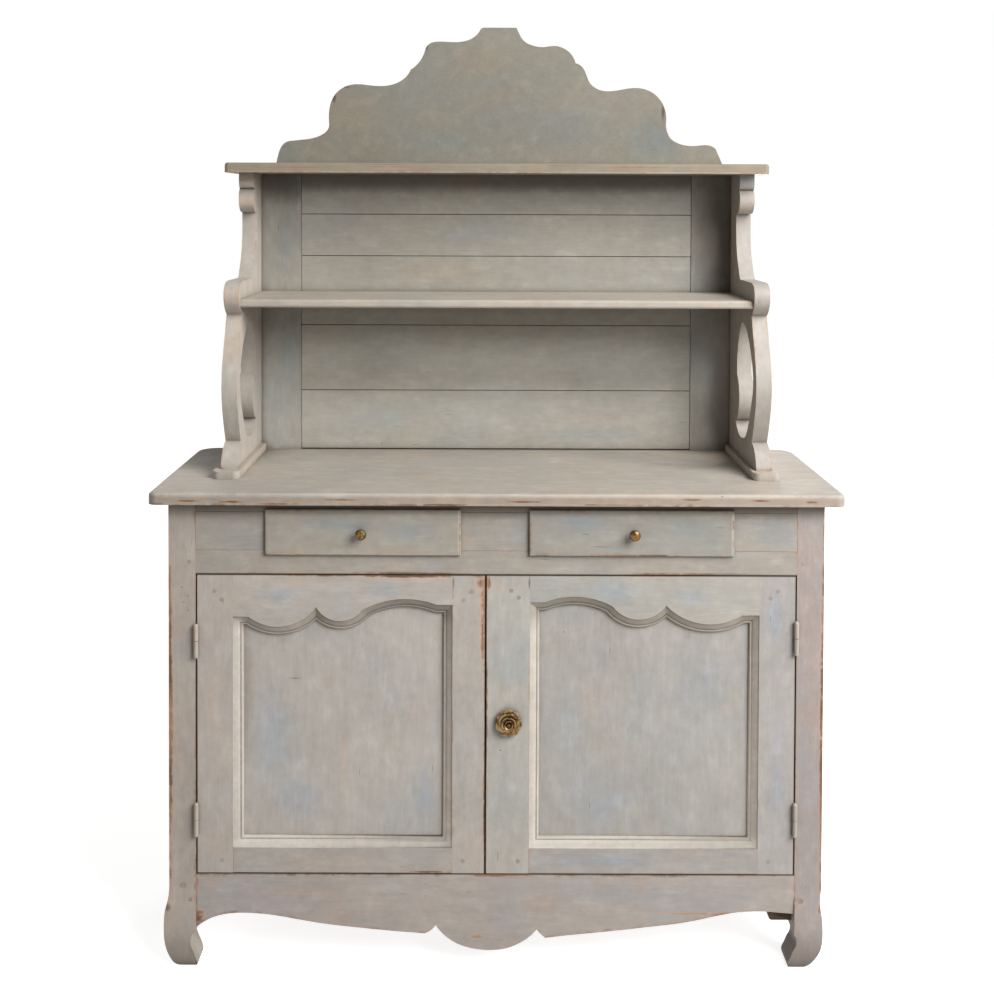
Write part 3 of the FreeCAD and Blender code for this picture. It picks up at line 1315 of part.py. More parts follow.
side_loop = trace(
    on_side((0, 0)), [on_side((1, 0))],
    *side_runs(SIDE_COVE_SHARES, SIDE_BELLY_SHARES, SIDE_EAR_SHARES, [SIDE_VALLEY_SHARE],
               SIDE_SWEEP_SHARES, SIDE_CORBEL_SHARES, SIDE_CAP_SHARES, [SIDE_CORBEL_TOP_SHARE]),
    [on_side((0, 1))])
hole_loop = trace(
    on_side(HOLE_TOP_SHARE),
    *side_runs(HOLE_FRONT_SHARES, HOLE_HEEL_SHARES, HOLE_LOBE_SHARES, HOLE_BACK_SHARES))

mid_shelf_z = (mid_shelf_bottom, mid_shelf_bottom + s.mid_shelf_thickness)
housing_y = (mid_shelf_front + s.mid_shelf_stop, rack_back_front)
sleds = []
sled_spans = {}
for tag, side in SIDES:
    x = mirrored(side, rack_inner, rack_half_width)
    board = slab("rack_side_board_" + tag, "side", [side_loop, hole_loop], x[0], s.rack_side_thickness)
    housing_x = mirrored(side, rack_inner, rack_inner + s.mid_shelf_housing)
    housing = block("rack_housing_" + tag, housing_x, housing_y, mid_shelf_z)
    bored("rack_side_" + tag, board, housing)
    sled_outer = rack_half_width + s.sled_overhang
    sled_x = mirrored(side, sled_outer - s.sled_width, sled_outer)
    sled_spans[tag] = sled_x
    sled = slab(
        "sled_board_" + tag, "top",
        [rounded_rectangle(sled_x, (sled_front, sled_rear), s.sled_corner, NONE)],
        s.counter_top, s.sled_height)
    bores = dowel_rods("sled_" + tag + "_dowel_bore")
    sleds.append(carve("sled_" + tag, sled, *bores))
keep("rack_sled_feet", group("rack_sled_feet", *sleds))

shelf_body = slab(
    "mid_shelf_board", "top", [rectangle((-rack_inner, rack_inner), (mid_shelf_front, rack_back_front))],
    mid_shelf_bottom, s.mid_shelf_thickness)
soften(shelf_body, s.shelf_edge_round, lambda edge: lies_at(edge, "Y", mid_shelf_front) and not lies_at(
    edge, "X", rack_inner) and not lies_at(edge, "X", -rack_inner))
tongue_x = rack_inner + s.mid_shelf_housing
shelf_ends = [
    block("mid_shelf_end_" + tag, mirrored(side, rack_inner, tongue_x), housing_y, mid_shelf_z)
    for tag, side in SIDES
]
keep("rack_middle_shelf", join("rack_middle_shelf", shelf_body, *shelf_ends))

top_body = slab(
    "top_shelf_board", "top",
    [rounded_rectangle((-top_shelf_half_width, top_shelf_half_width),
                       (top_shelf_front, s.counter_depth / 2), s.top_shelf_corner, NONE)],
    rack_top, s.top_shelf_thickness)
soften(top_body, s.shelf_edge_round, lambda edge: lies_at(edge, "Z", top_shelf_z[1]) and not lies_at(
    edge, "Y", s.counter_depth / 2))
bored("rack_top_shelf", top_body)

# Crest board: shares of its half width, right of its middle, and of its height, from the left foot
CREST_RUNS_SHARES = [
    [(-0.990, 0.075), (-0.968, 0.148), (-0.929, 0.174)],
    [(-0.868, 0.184), (-0.805, 0.210), (-0.770, 0.252), (-0.763, 0.309)],
    [(-0.762, 0.399), (-0.746, 0.486), (-0.707, 0.555), (-0.650, 0.586), (-0.572, 0.577),
     (-0.499, 0.578), (-0.434, 0.620), (-0.398, 0.694)],
    [(-0.352, 0.768), (-0.333, 0.844)],
    [(-0.312, 0.884), (-0.268, 0.898), (-0.195, 0.894), (-0.130, 0.917), (-0.085, 0.993)],
    [(-0.072, 1.0)],
    [(0.073, 1.0)],
    [(0.086, 0.956), (0.098, 0.921), (0.117, 0.892), (0.145, 0.872), (0.190, 0.860), (0.247, 0.869),
     (0.301, 0.835), (0.338, 0.744)],
    [(0.361, 0.726), (0.376, 0.698), (0.397, 0.615), (0.442, 0.553), (0.487, 0.541), (0.578, 0.563),
     (0.648, 0.557), (0.706, 0.500), (0.740, 0.400), (0.744, 0.320)],
    [(0.749, 0.246), (0.764, 0.200)],
    [(0.807, 0.159), (0.874, 0.146), (0.937, 0.150), (0.966, 0.125)],
    [(1.0, 0.0)],
]


def on_crest(shares):
    """A place on the crest board from its shares."""
    return (s.crest_offset + shares[0] * crest_half_width, top_shelf_z[1] + shares[1] * s.crest_height)


crest_loop = trace(on_crest((-1, 0)), *[[on_crest(spot) for spot in run] for run in CREST_RUNS_SHARES])
bored("crest_board", slab("crest_blank", "front", [crest_loop], crest_front, s.crest_thickness))

back_bottom = s.counter_top + s.rack_back_lift
stiles = []
for tag, side in SIDES:
    x = mirrored(side, rack_inner - s.rack_stile_width, rack_inner)
    y = (rack_back_front, rack_back_front + s.rack_back_thickness)
    stile = block("rack_stile_board_" + tag, x, y, (s.counter_top, rack_top))
    sled_room = block("rack_stile_notch_" + tag, sled_spans[tag], (sled_front, sled_rear),
                      (s.counter_top, sled_top))
    stiles.append(carve("rack_stile_" + tag, stile, sled_room))
keep("rack_back_stiles", group("rack_back_stiles", *stiles))

board_half = rack_inner - s.rack_stile_width
board_y = (rack_back_front + s.rack_board_setback,
           rack_back_front + s.rack_board_setback + s.rack_board_thickness)
joint_1 = back_bottom + s.rack_board_1_height
joint_4 = rack_top - s.rack_board_5_height
joints = [back_bottom, joint_1, joint_1 + s.rack_board_2_height, joint_4 - s.rack_board_4_height, joint_4,
          rack_top]
rack_boards = []
for number, (below, above) in enumerate(zip(joints, joints[1:])):
    lower_edge = below + s.rack_board_gap if number else below
    rack_boards.append(lapped(
        "rack_board_" + str(number), False, (-board_half, board_half), (lower_edge, above), board_y,
        lower_edge - s.lap_reach if number else s.counter_top, number < len(joints) - 2))
keep("rack_back_boards", group("rack_back_boards", *rack_boards))

# Check every object, then write the pieces

doc.recompute()
for thing in doc.Objects:
    if "Invalid" in thing.State or "Error" in thing.State:
        raise RuntimeError(thing.Name + " failed: " + str(thing.State))
for name, thing in nodes.items():
    if thing.Shape.isNull() or not thing.Shape.isValid() or not thing.Shape.Solids:
        raise RuntimeError(name + " has no sound shape")
for name, thing in nodes.items():
    thing.Shape.exportStep("parts/" + name + ".step")
print(len(nodes), "pieces written")
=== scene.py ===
# %% [markdown]
# # A painted kitchen dresser
#
# This lesson dresses a finished CAD model of an old kitchen dresser: a buffet with two doors and two
# drawers that carries an open plate rack. The joinery, the doors and the drawers come from the CAD
# model and keep their places. What is left for Blender is the look: old grey paint that was brushed
# on by hand, wood that shows where the paint has worn away, dull brass and toned iron.

# %% Load the CAD model
import math

import bpy
from mathutils import Matrix, Vector


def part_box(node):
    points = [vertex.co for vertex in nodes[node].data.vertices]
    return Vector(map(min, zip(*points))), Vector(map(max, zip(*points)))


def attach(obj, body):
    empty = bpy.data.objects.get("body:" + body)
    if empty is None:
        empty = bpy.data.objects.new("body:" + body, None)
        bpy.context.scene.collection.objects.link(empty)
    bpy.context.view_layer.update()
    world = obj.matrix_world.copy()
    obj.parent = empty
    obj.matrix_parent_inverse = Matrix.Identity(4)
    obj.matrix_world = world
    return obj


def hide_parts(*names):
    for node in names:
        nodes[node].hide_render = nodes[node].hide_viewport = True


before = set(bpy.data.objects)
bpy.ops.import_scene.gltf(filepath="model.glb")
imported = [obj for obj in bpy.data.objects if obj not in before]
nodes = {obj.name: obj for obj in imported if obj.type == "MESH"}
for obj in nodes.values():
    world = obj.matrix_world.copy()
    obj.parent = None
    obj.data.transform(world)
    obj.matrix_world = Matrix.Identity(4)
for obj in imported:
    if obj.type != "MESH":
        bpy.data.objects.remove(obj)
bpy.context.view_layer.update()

# %% [markdown]
# ## The camera
#
# The dresser is seen from the front, from about eye height, with the lens a little left of the
# middle. The camera looks down by a degree and a half and its picture is shifted down, the way a
# view camera's back is shifted, so that the upright edges stay almost upright.

# %% Place the camera
EYE = Vector((-0.01822, -2.85895, 1.55012))
LOOK_DOWN = 0.0254
LEAN = 0.0035
FOCAL_PIXELS = 1312.2896
PICTURE = (994, 995)
OPTICAL_CENTRE = (488.505, 239.218)
SENSOR = 0.036

lens = bpy.data.cameras.new("camera")
camera = bpy.data.objects.new("camera", lens)
bpy.context.scene.collection.objects.link(camera)
bpy.context.scene.camera = camera
camera.matrix_world = (
    Matrix.Translation(EYE)
    @ Matrix.Rotation(math.pi / 2 - LOOK_DOWN, 4, "X")
    @ Matrix.Rotation(LEAN, 4, "Z"))
long_side = max(PICTURE)
lens.sensor_fit = "AUTO"
lens.sensor_width = SENSOR * 1000
lens.lens = FOCAL_PIXELS / long_side * SENSOR * 1000
lens.shift_x = (PICTURE[0] / 2 - OPTICAL_CENTRE[0]) / long_side
lens.shift_y = (OPTICAL_CENTRE[1] - PICTURE[1] / 2) / long_side
print("lens", round(lens.lens, 2), "mm, shift", round(lens.shift_x, 4), round(lens.shift_y, 4))

# %% [markdown]
# ## Floor and light
#
# A plain pale floor runs up into a pale backdrop. The light is that of a studio: one large soft lamp
# above and to the right, which leaves the left faces and the inside of the rack in shade, and a pale
# sky all round that fills the shadows. Rays that go straight from the camera to the floor or the sky
# see white, so the picture has a white ground while the floor still catches the shadow. The glow that
# they see is a little weaker within a metre of the dresser (place in metres, strength) than far away.

# %% Build the floor
FLOOR_HALF = 9.0
FLOOR_GREY = (0.55, 0.55, 0.54, 1)
WHITE = (1, 1, 1, 1)
NEAR_GLOW = (1.0, 0.84)
FAR_GLOW = (3.0, 1.0)


def new_material(name):
    """An empty node material and its tree."""
    material = bpy.data.materials.new(name)
    material.use_nodes = True
    material.node_tree.nodes.clear()
    return material, material.node_tree


def add(tree, kind, **settings):
    """A node with its settings; a setting that names an input sets the input's value."""
    node = tree.nodes.new(kind)
    for key, value in settings.items():
        if hasattr(node, key):
            setattr(node, key, value)
        else:
            node.inputs[key.replace("_", " ")].default_value = value
    return node


floor_mesh = bpy.data.meshes.new("floor")
corners = [(-FLOOR_HALF, -FLOOR_HALF, 0), (FLOOR_HALF, -FLOOR_HALF, 0),
           (FLOOR_HALF, FLOOR_HALF, 0), (-FLOOR_HALF, FLOOR_HALF, 0)]
floor_mesh.from_pydata(corners, [], [(0, 1, 2, 3)])
floor = bpy.data.objects.new("floor", floor_mesh)
bpy.context.scene.collection.objects.link(floor)

floor_paint, tree = new_material("pale floor")
matte = add(tree, "ShaderNodeBsdfDiffuse", Color=FLOOR_GREY)
glow = add(tree, "ShaderNodeEmission", Color=WHITE)
where = add(tree, "ShaderNodeNewGeometry")
far = add(tree, "ShaderNodeVectorMath", operation="LENGTH")
fade = add(tree, "ShaderNodeMapRange", From_Min=NEAR_GLOW[0], From_Max=FAR_GLOW[0],
           To_Min=NEAR_GLOW[1], To_Max=FAR_GLOW[1])
tree.links.new(where.outputs["Position"], far.inputs[0])
tree.links.new(far.outputs["Value"], fade.inputs["Value"])
tree.links.new(fade.outputs["Result"], glow.inputs["Strength"])
total = add(tree, "ShaderNodeAddShader")
out = add(tree, "ShaderNodeOutputMaterial")
path = add(tree, "ShaderNodeLightPath")
seen = add(tree, "ShaderNodeMath", operation="MAXIMUM")
tree.links.new(path.outputs["Is Camera Ray"], seen.inputs[0])
tree.links.new(path.outputs["Is Glossy Ray"], seen.inputs[1])
mix = add(tree, "ShaderNodeMixShader")
tree.links.new(matte.outputs[0], total.inputs[0])
tree.links.new(glow.outputs[0], total.inputs[1])
tree.links.new(seen.outputs[0], mix.inputs[0])
tree.links.new(matte.outputs[0], mix.inputs[1])
tree.links.new(total.outputs[0], mix.inputs[2])
tree.links.new(mix.outputs[0], out.inputs["Surface"])
floor_mesh.materials.append(floor_paint)
print("floor", 2 * FLOOR_HALF, "m square")

# %% Light the room
SKY_STRENGTH = 0.09
LAMPS = [
    # name, place, aims at, size, watts
    ("window", (2.65, -2.45, 3.35), (0.0, 0.0, 1.2), 3.0, 330),
    ("left fill", (-3.6, 0.3, 2.0), (0.0, 0.3, 0.9), 2.0, 22),
    ("back fill", (0.9, 4.2, 0.8), (0.0, 0.0, 0.8), 1.4, 90),
]

sky = bpy.data.worlds.new("pale sky")
bpy.context.scene.world = sky
sky.use_nodes = True
tree = sky.node_tree
tree.nodes.clear()
dim = add(tree, "ShaderNodeBackground", Color=WHITE, Strength=SKY_STRENGTH)
white = add(tree, "ShaderNodeBackground", Color=WHITE, Strength=1.0)
path = add(tree, "ShaderNodeLightPath")
seen = add(tree, "ShaderNodeMath", operation="MAXIMUM")
through = add(tree, "ShaderNodeMath", operation="MAXIMUM")
mix = add(tree, "ShaderNodeMixShader")
out = add(tree, "ShaderNodeOutputWorld")
tree.links.new(path.outputs["Is Camera Ray"], seen.inputs[0])
tree.links.new(path.outputs["Is Glossy Ray"], seen.inputs[1])
tree.links.new(seen.outputs[0], through.inputs[0])
tree.links.new(path.outputs["Is Transmission Ray"], through.inputs[1])
tree.links.new(through.outputs[0], mix.inputs[0])
tree.links.new(dim.outputs[0], mix.inputs[1])
tree.links.new(white.outputs[0], mix.inputs[2])
tree.links.new(mix.outputs[0], out.inputs["Surface"])

for name, spot, target, size, watts in LAMPS:
    lamp = bpy.data.lights.new(name, "AREA")
    lamp.shape = "SQUARE"
    lamp.size = size
    lamp.energy = watts
    holder = bpy.data.objects.new(name, lamp)
    bpy.context.scene.collection.objects.link(holder)
    aim = Vector(target) - Vector(spot)
    holder.matrix_world = Matrix.Translation(spot) @ aim.to_track_quat("-Z", "Y").to_matrix().to_4x4()
bpy.context.scene.view_settings.view_transform = "Standard"
print(len(LAMPS), "lamps and a sky of strength", SKY_STRENGTH)

# %% [markdown]
# ## Small helpers for finishes
#
# A finish in Blender is a tree of nodes. The trees below are wired by a few short functions, so that
# each recipe reads like a list of steps: take a pattern, turn it into a mask, lay a colour over
# another one where the mask says so. A step accepts the output of another step or a plain number.

# %% Helpers: wire, calculate, mask, lay one colour over another
def feed(tree, socket, value):
    """Joins an output to a socket, or sets the socket to a fixed value."""
    if hasattr(value, "links"):
        tree.links.new(value, socket)
    else:
        socket.default_value = value


def calculate(tree, operation, first, second):
    """One calculation with two values."""
    step = add(tree, "ShaderNodeMath", operation=operation)
    feed(tree, step.inputs[0], first)
    feed(tree, step.inputs[1], second)
    return step.outputs[0]


def vector(tree, operation, first, second):
    """One calculation with two places, part by part."""
    step = add(tree, "ShaderNodeVectorMath", operation=operation)
    feed(tree, step.inputs[0], first)
    feed(tree, step.inputs[1], second)
    return step.outputs[0]


def mask(tree, value, low, high, strength=1.0):
    """Turns a pattern into a soft mask: nothing at low, full strength at high."""
    step = add(tree, "ShaderNodeMapRange", interpolation_type="SMOOTHSTEP")
    feed(tree, step.inputs["Value"], value)
    step.inputs["From Min"].default_value = low
    step.inputs["From Max"].default_value = high
    step.inputs["To Max"].default_value = strength
    return step.outputs["Result"]


def lay_over(tree, share, under, over, how="MIX"):
    """Lays one colour over another."""
    step = add(tree, "ShaderNodeMix", data_type="RGBA", blend_type=how)
    feed(tree, step.inputs[0], share)
    feed(tree, step.inputs[6], under)
    feed(tree, step.inputs[7], over)
    return step.outputs[2]


def pattern(tree, place, scale, detail, roughness=0.6):
    """A cloudy noise pattern, around a half."""
    noise = add(tree, "ShaderNodeTexNoise", Scale=scale, Detail=detail, Roughness=roughness)
    feed(tree, noise.inputs["Vector"], place)
    return noise.outputs["Fac"]


def srgb(red, green, blue):
    """A colour as a paint chart names it, 0 to 255, in the linear values that nodes use."""
    return tuple((c / 255 / 12.92) if c <= 10 else ((c / 255 + 0.055) / 1.055) ** 2.4
                 for c in (red, green, blue)) + (1.0,)


print("helpers ready")

# %% [markdown]
# ## The worn paint
#
# The dresser has been painted more than once. The last coat is a warm grey, brushed along each
# board, and through it show a cooler blue-grey coat and a pinkish ground. Where hands, brooms and
# plates have rubbed, on the arrises most of all, the pine is bare and brown.
#
# One node group holds the whole recipe, because every painted piece uses it. Each piece sets the
# direction of its boards, a seed that moves the patterns, and how blue, warm or worn it is.
# The wear finds the edges by itself: an ambient occlusion node that looks into the wood meets the
# far side of an edge close by, and nothing but wood in the middle of a board.

# %% Name the colours of the paint
GREY = srgb(178, 172, 164)
BLUE_GREY = srgb(160, 166, 171)
PINK_GROUND = srgb(190, 171, 154)
PALE_RUB = srgb(198, 194, 186)
CREAM = srgb(218, 215, 210)
PINE_LIGHT = srgb(168, 126, 94)
PINE_DARK = srgb(100, 70, 48)
# The dark laid in corners and joints and by the Dark marks: partly dirt, partly painted shade.
DIRT_AND_SHADE = srgb(70, 60, 46)
print("eight colours")

# %% Start the group: what each piece can set, and where the patterns lie
BOARD_SEED_STEP = 9.0
SECOND_PLACE = (3.1, 7.7, 1.3)
THIRD_PLACE = (9.4, 2.2, 5.8)
KINDS = ("Bare", "Blue", "Warm", "Dark", "Pale")
SETTINGS = {"Seed": 0.0, "Boards": 0.0, "Blue": 0.5, "Warm": 0.5, "Wear": 0.5, "Dirt and shade": 0.6}

paint = bpy.data.node_groups.new("worn paint", "ShaderNodeTree")
slots_in = paint.interface
slots_in.new_socket("Along", in_out="INPUT", socket_type="NodeSocketVector")
slots_in.new_socket("Tone", in_out="INPUT", socket_type="NodeSocketColor")
for name, value in SETTINGS.items():
    slots_in.new_socket(name, in_out="INPUT", socket_type="NodeSocketFloat").default_value = value
for kind in KINDS:
    slots_in.new_socket(kind + " here", in_out="INPUT", socket_type="NodeSocketFloat").default_value = 0
slots_in.new_socket("Color", in_out="OUTPUT", socket_type="NodeSocketColor")
slots_in.new_socket("Roughness", in_out="OUTPUT", socket_type="NodeSocketFloat")
slots_in.new_socket("Height", in_out="OUTPUT", socket_type="NodeSocketFloat")
given = add(paint, "NodeGroupInput").outputs
result = add(paint, "NodeGroupOutput").inputs

board = add(paint, "ShaderNodeNewGeometry").outputs["Random Per Island"]
board = calculate(paint, "MULTIPLY", board, given["Boards"])
seed = calculate(paint, "ADD", given["Seed"], calculate(paint, "MULTIPLY", board, BOARD_SEED_STEP))
place = vector(paint, "ADD", add(paint, "ShaderNodeTexCoord").outputs["Object"], seed)
place_2 = vector(paint, "ADD", place, SECOND_PLACE)
place_3 = vector(paint, "ADD", place, THIRD_PLACE)
strokes = vector(paint, "MULTIPLY", place, given["Along"])
print("the group takes", len(KINDS) + len(SETTINGS) + 2, "settings")

# %% [markdown]
# ### The coats
#
# Broad clouds decide where the blue-grey coat and the pinkish ground come through. The brush marks
# are the same kind of noise, stretched along the board: broad strokes of about two centimetres and
# fine ones of a few millimetres. A mottle of dabs keeps the strokes from looking like print.

# %% Brush the coats
DARKEST, LIGHTEST = 0.86, 1.13
DARKEST_BOARD = 0.86

clouds = pattern(paint, place, 5.5, 3.0)
mottle = pattern(paint, place_2, 46.0, 5.0, 0.65)
half_along = vector(paint, "ADD", vector(paint, "MULTIPLY", given["Along"], (0.6, 0.6, 0.6)), (0.4, 0.4, 0.4))
dabs = pattern(paint, vector(paint, "MULTIPLY", place_3, half_along), 38.0, 4.0)
broad_strokes = pattern(paint, strokes, 24.0, 4.0)
fine_strokes = pattern(paint, strokes, 130.0, 5.0, 0.7)

blue = mask(paint, pattern(paint, place_2, 6.0, 3.0, 0.5), 0.47, 0.70)
blue = calculate(paint, "MULTIPLY", blue, given["Blue"])
blue = calculate(paint, "MAXIMUM", blue, given["Blue here"])
blue = calculate(paint, "MULTIPLY", blue, mask(paint, dabs, 0.20, 0.60))
warm = mask(paint, pattern(paint, place_3, 7.0, 4.0), 0.48, 0.72)
warm = calculate(paint, "MULTIPLY", warm, given["Warm"])
warm = calculate(paint, "MAXIMUM", warm, calculate(paint, "MULTIPLY", given["Warm here"], 0.8))
warm = calculate(paint, "MULTIPLY", warm, mask(paint, mottle, 0.25, 0.55))

coat = lay_over(paint, blue, GREY, BLUE_GREY)
coat = lay_over(paint, warm, coat, PINK_GROUND)
coat = lay_over(paint, mask(paint, dabs, 0.50, 0.80, 0.30), coat, PALE_RUB)
coat = lay_over(paint, mask(paint, fine_strokes, 0.56, 0.80, 0.24), coat, PALE_RUB)
# Pale marks lay cream over the coat; most of them are painted highlights on edges and slopes that face the
# lamp.
coat = lay_over(paint, given["Pale here"], coat, CREAM)

mixed = calculate(paint, "ADD", calculate(paint, "ADD", clouds, mottle),
                  calculate(paint, "ADD", dabs, fine_strokes))
shade = add(paint, "ShaderNodeMapRange", From_Min=1.5, From_Max=2.5, To_Min=DARKEST, To_Max=LIGHTEST)
feed(paint, shade.inputs["Value"], mixed)
coat = lay_over(paint, 1.0, coat, shade.outputs["Result"], "MULTIPLY")
board_shade = add(paint, "ShaderNodeMapRange", To_Min=1.0, To_Max=DARKEST_BOARD)
feed(paint, board_shade.inputs["Value"], board)
coat = lay_over(paint, 1.0, coat, board_shade.outputs["Result"], "MULTIPLY")
coat = lay_over(paint, 1.0, coat, given["Tone"], "MULTIPLY")
print("coats brushed:", len(paint.nodes), "nodes so far")

# %% [markdown]
# ### Where the paint is gone
#
# On an edge the paint first goes thin, so that the pinkish ground shines through, and then the pine
# shows. Chips break the line of the wear, and longer stretches of an edge are left whole, because
# nobody rubs a cupboard evenly.

# %% Wear the edges
EDGE_REACH = 0.007

grain = pattern(paint, strokes, 60.0, 6.0, 0.65)
pine = lay_over(paint, mask(paint, grain, 0.38, 0.62), PINE_LIGHT, PINE_DARK)
pine = lay_over(paint, 0.6, pine, lay_over(paint, 1.0, pine, given["Tone"], "MULTIPLY"))

inward = add(paint, "ShaderNodeAmbientOcclusion", samples=3, inside=True, only_local=True)
inward.inputs["Distance"].default_value = EDGE_REACH
edge = calculate(paint, "SUBTRACT", 1.0, inward.outputs["AO"])
chips = pattern(paint, place, 48.0, 5.0, 0.65)
stretches = pattern(paint, place_3, 8.0, 2.0, 0.5)
rubbed = calculate(paint, "MULTIPLY", edge, mask(paint, chips, 0.34, 0.62, 2.0))
rubbed = calculate(paint, "MULTIPLY", rubbed, mask(paint, stretches, 0.34, 0.60, 1.6))
rubbed = calculate(paint, "MULTIPLY", rubbed, given["Wear"])
torn = calculate(paint, "MULTIPLY", calculate(paint, "ADD", chips, fine_strokes), 0.5)
torn = calculate(paint, "MULTIPLY", given["Bare here"], mask(paint, torn, 0.29, 0.51, 1.2))
worn = calculate(paint, "ADD", rubbed, torn)
bare = mask(paint, worn, 0.30, 0.95, 0.9)
color = lay_over(paint, mask(paint, worn, 0.03, 0.36, 0.85), coat,
                 lay_over(paint, 1.0, PINK_GROUND, given["Tone"], "MULTIPLY"))
color = lay_over(paint, bare, color, pine)
print("edges worn:", len(paint.nodes), "nodes so far")

# %% [markdown]
# ### Dirt and painted shade, worm holes and nicks
#
# Dirt and old wax gather in corners and joints, and shade falls there too. Ordinary ambient occlusion
# finds these places, and the darkening it lays on is partly dirt and partly painted shade. Worm holes
# are the middles of a few random cells of a Voronoi pattern, and nicks are the same with the cells
# stretched along the board.

# %% Add dirt and painted shade, holes and nicks
DIRT_AND_SHADE_REACH = 0.024
HOLE_DARKNESS, NICK_DARKNESS = 0.75, 0.22
PAINT_ROUGHNESS, WORN_ROUGHER = 0.56, 0.2
BARE_CUT, HOLE_CUT, NICK_CUT = 0.5, 2.0, 1.0


def cells(scale, reach, kept, place_of_cells):
    """Dark middles of some cells of a Voronoi pattern."""
    tiles = add(paint, "ShaderNodeTexVoronoi", Scale=scale)
    feed(paint, tiles.inputs["Vector"], place_of_cells)
    chosen = add(paint, "ShaderNodeTexWhiteNoise", noise_dimensions="3D")
    feed(paint, chosen.inputs["Vector"], tiles.outputs["Position"])
    middle = mask(paint, tiles.outputs["Distance"], reach, reach * 0.5)
    return calculate(paint, "MULTIPLY", middle, mask(paint, chosen.outputs["Value"], kept, kept + 0.02))


outward = add(paint, "ShaderNodeAmbientOcclusion", samples=3)
outward.inputs["Distance"].default_value = DIRT_AND_SHADE_REACH
hidden = calculate(paint, "SUBTRACT", 1.0, outward.outputs["AO"])
# Darkening in corners and joints: partly dirt, partly painted shade where light is blocked.
crevice_dirt_and_shade = calculate(paint, "MULTIPLY", mask(paint, hidden, 0.15, 0.90), given["Dirt and shade"])
color = lay_over(paint, crevice_dirt_and_shade, color, DIRT_AND_SHADE)
# Dark marks lay the same dark colour: painted shade under the counter and the shelves and painted shadows, as
# well as dark pegs, joints and cracks.
color = lay_over(paint, given["Dark here"], color, DIRT_AND_SHADE)
holes = cells(34.0, 0.060, 0.93, place)
nicks = cells(75.0, 0.110, 0.86, strokes)
color = lay_over(paint, calculate(paint, "MULTIPLY", holes, HOLE_DARKNESS), color, DIRT_AND_SHADE)
color = lay_over(paint, calculate(paint, "MULTIPLY", nicks, NICK_DARKNESS), color, DIRT_AND_SHADE)
feed(paint, result["Color"], color)
rougher = calculate(paint, "MULTIPLY", worn, WORN_ROUGHER)
feed(paint, result["Roughness"], calculate(paint, "ADD", PAINT_ROUGHNESS, rougher))

height = calculate(paint, "ADD", calculate(paint, "MULTIPLY", fine_strokes, 0.5),
                   calculate(paint, "MULTIPLY", broad_strokes, 0.5))
for cut, depth in ((bare, BARE_CUT), (holes, HOLE_CUT), (nicks, NICK_CUT)):
    height = calculate(paint, "SUBTRACT", height, calculate(paint, "MULTIPLY", cut, depth))
feed(paint, result["Height"], height)
print("worn paint:", len(paint.nodes), "nodes")
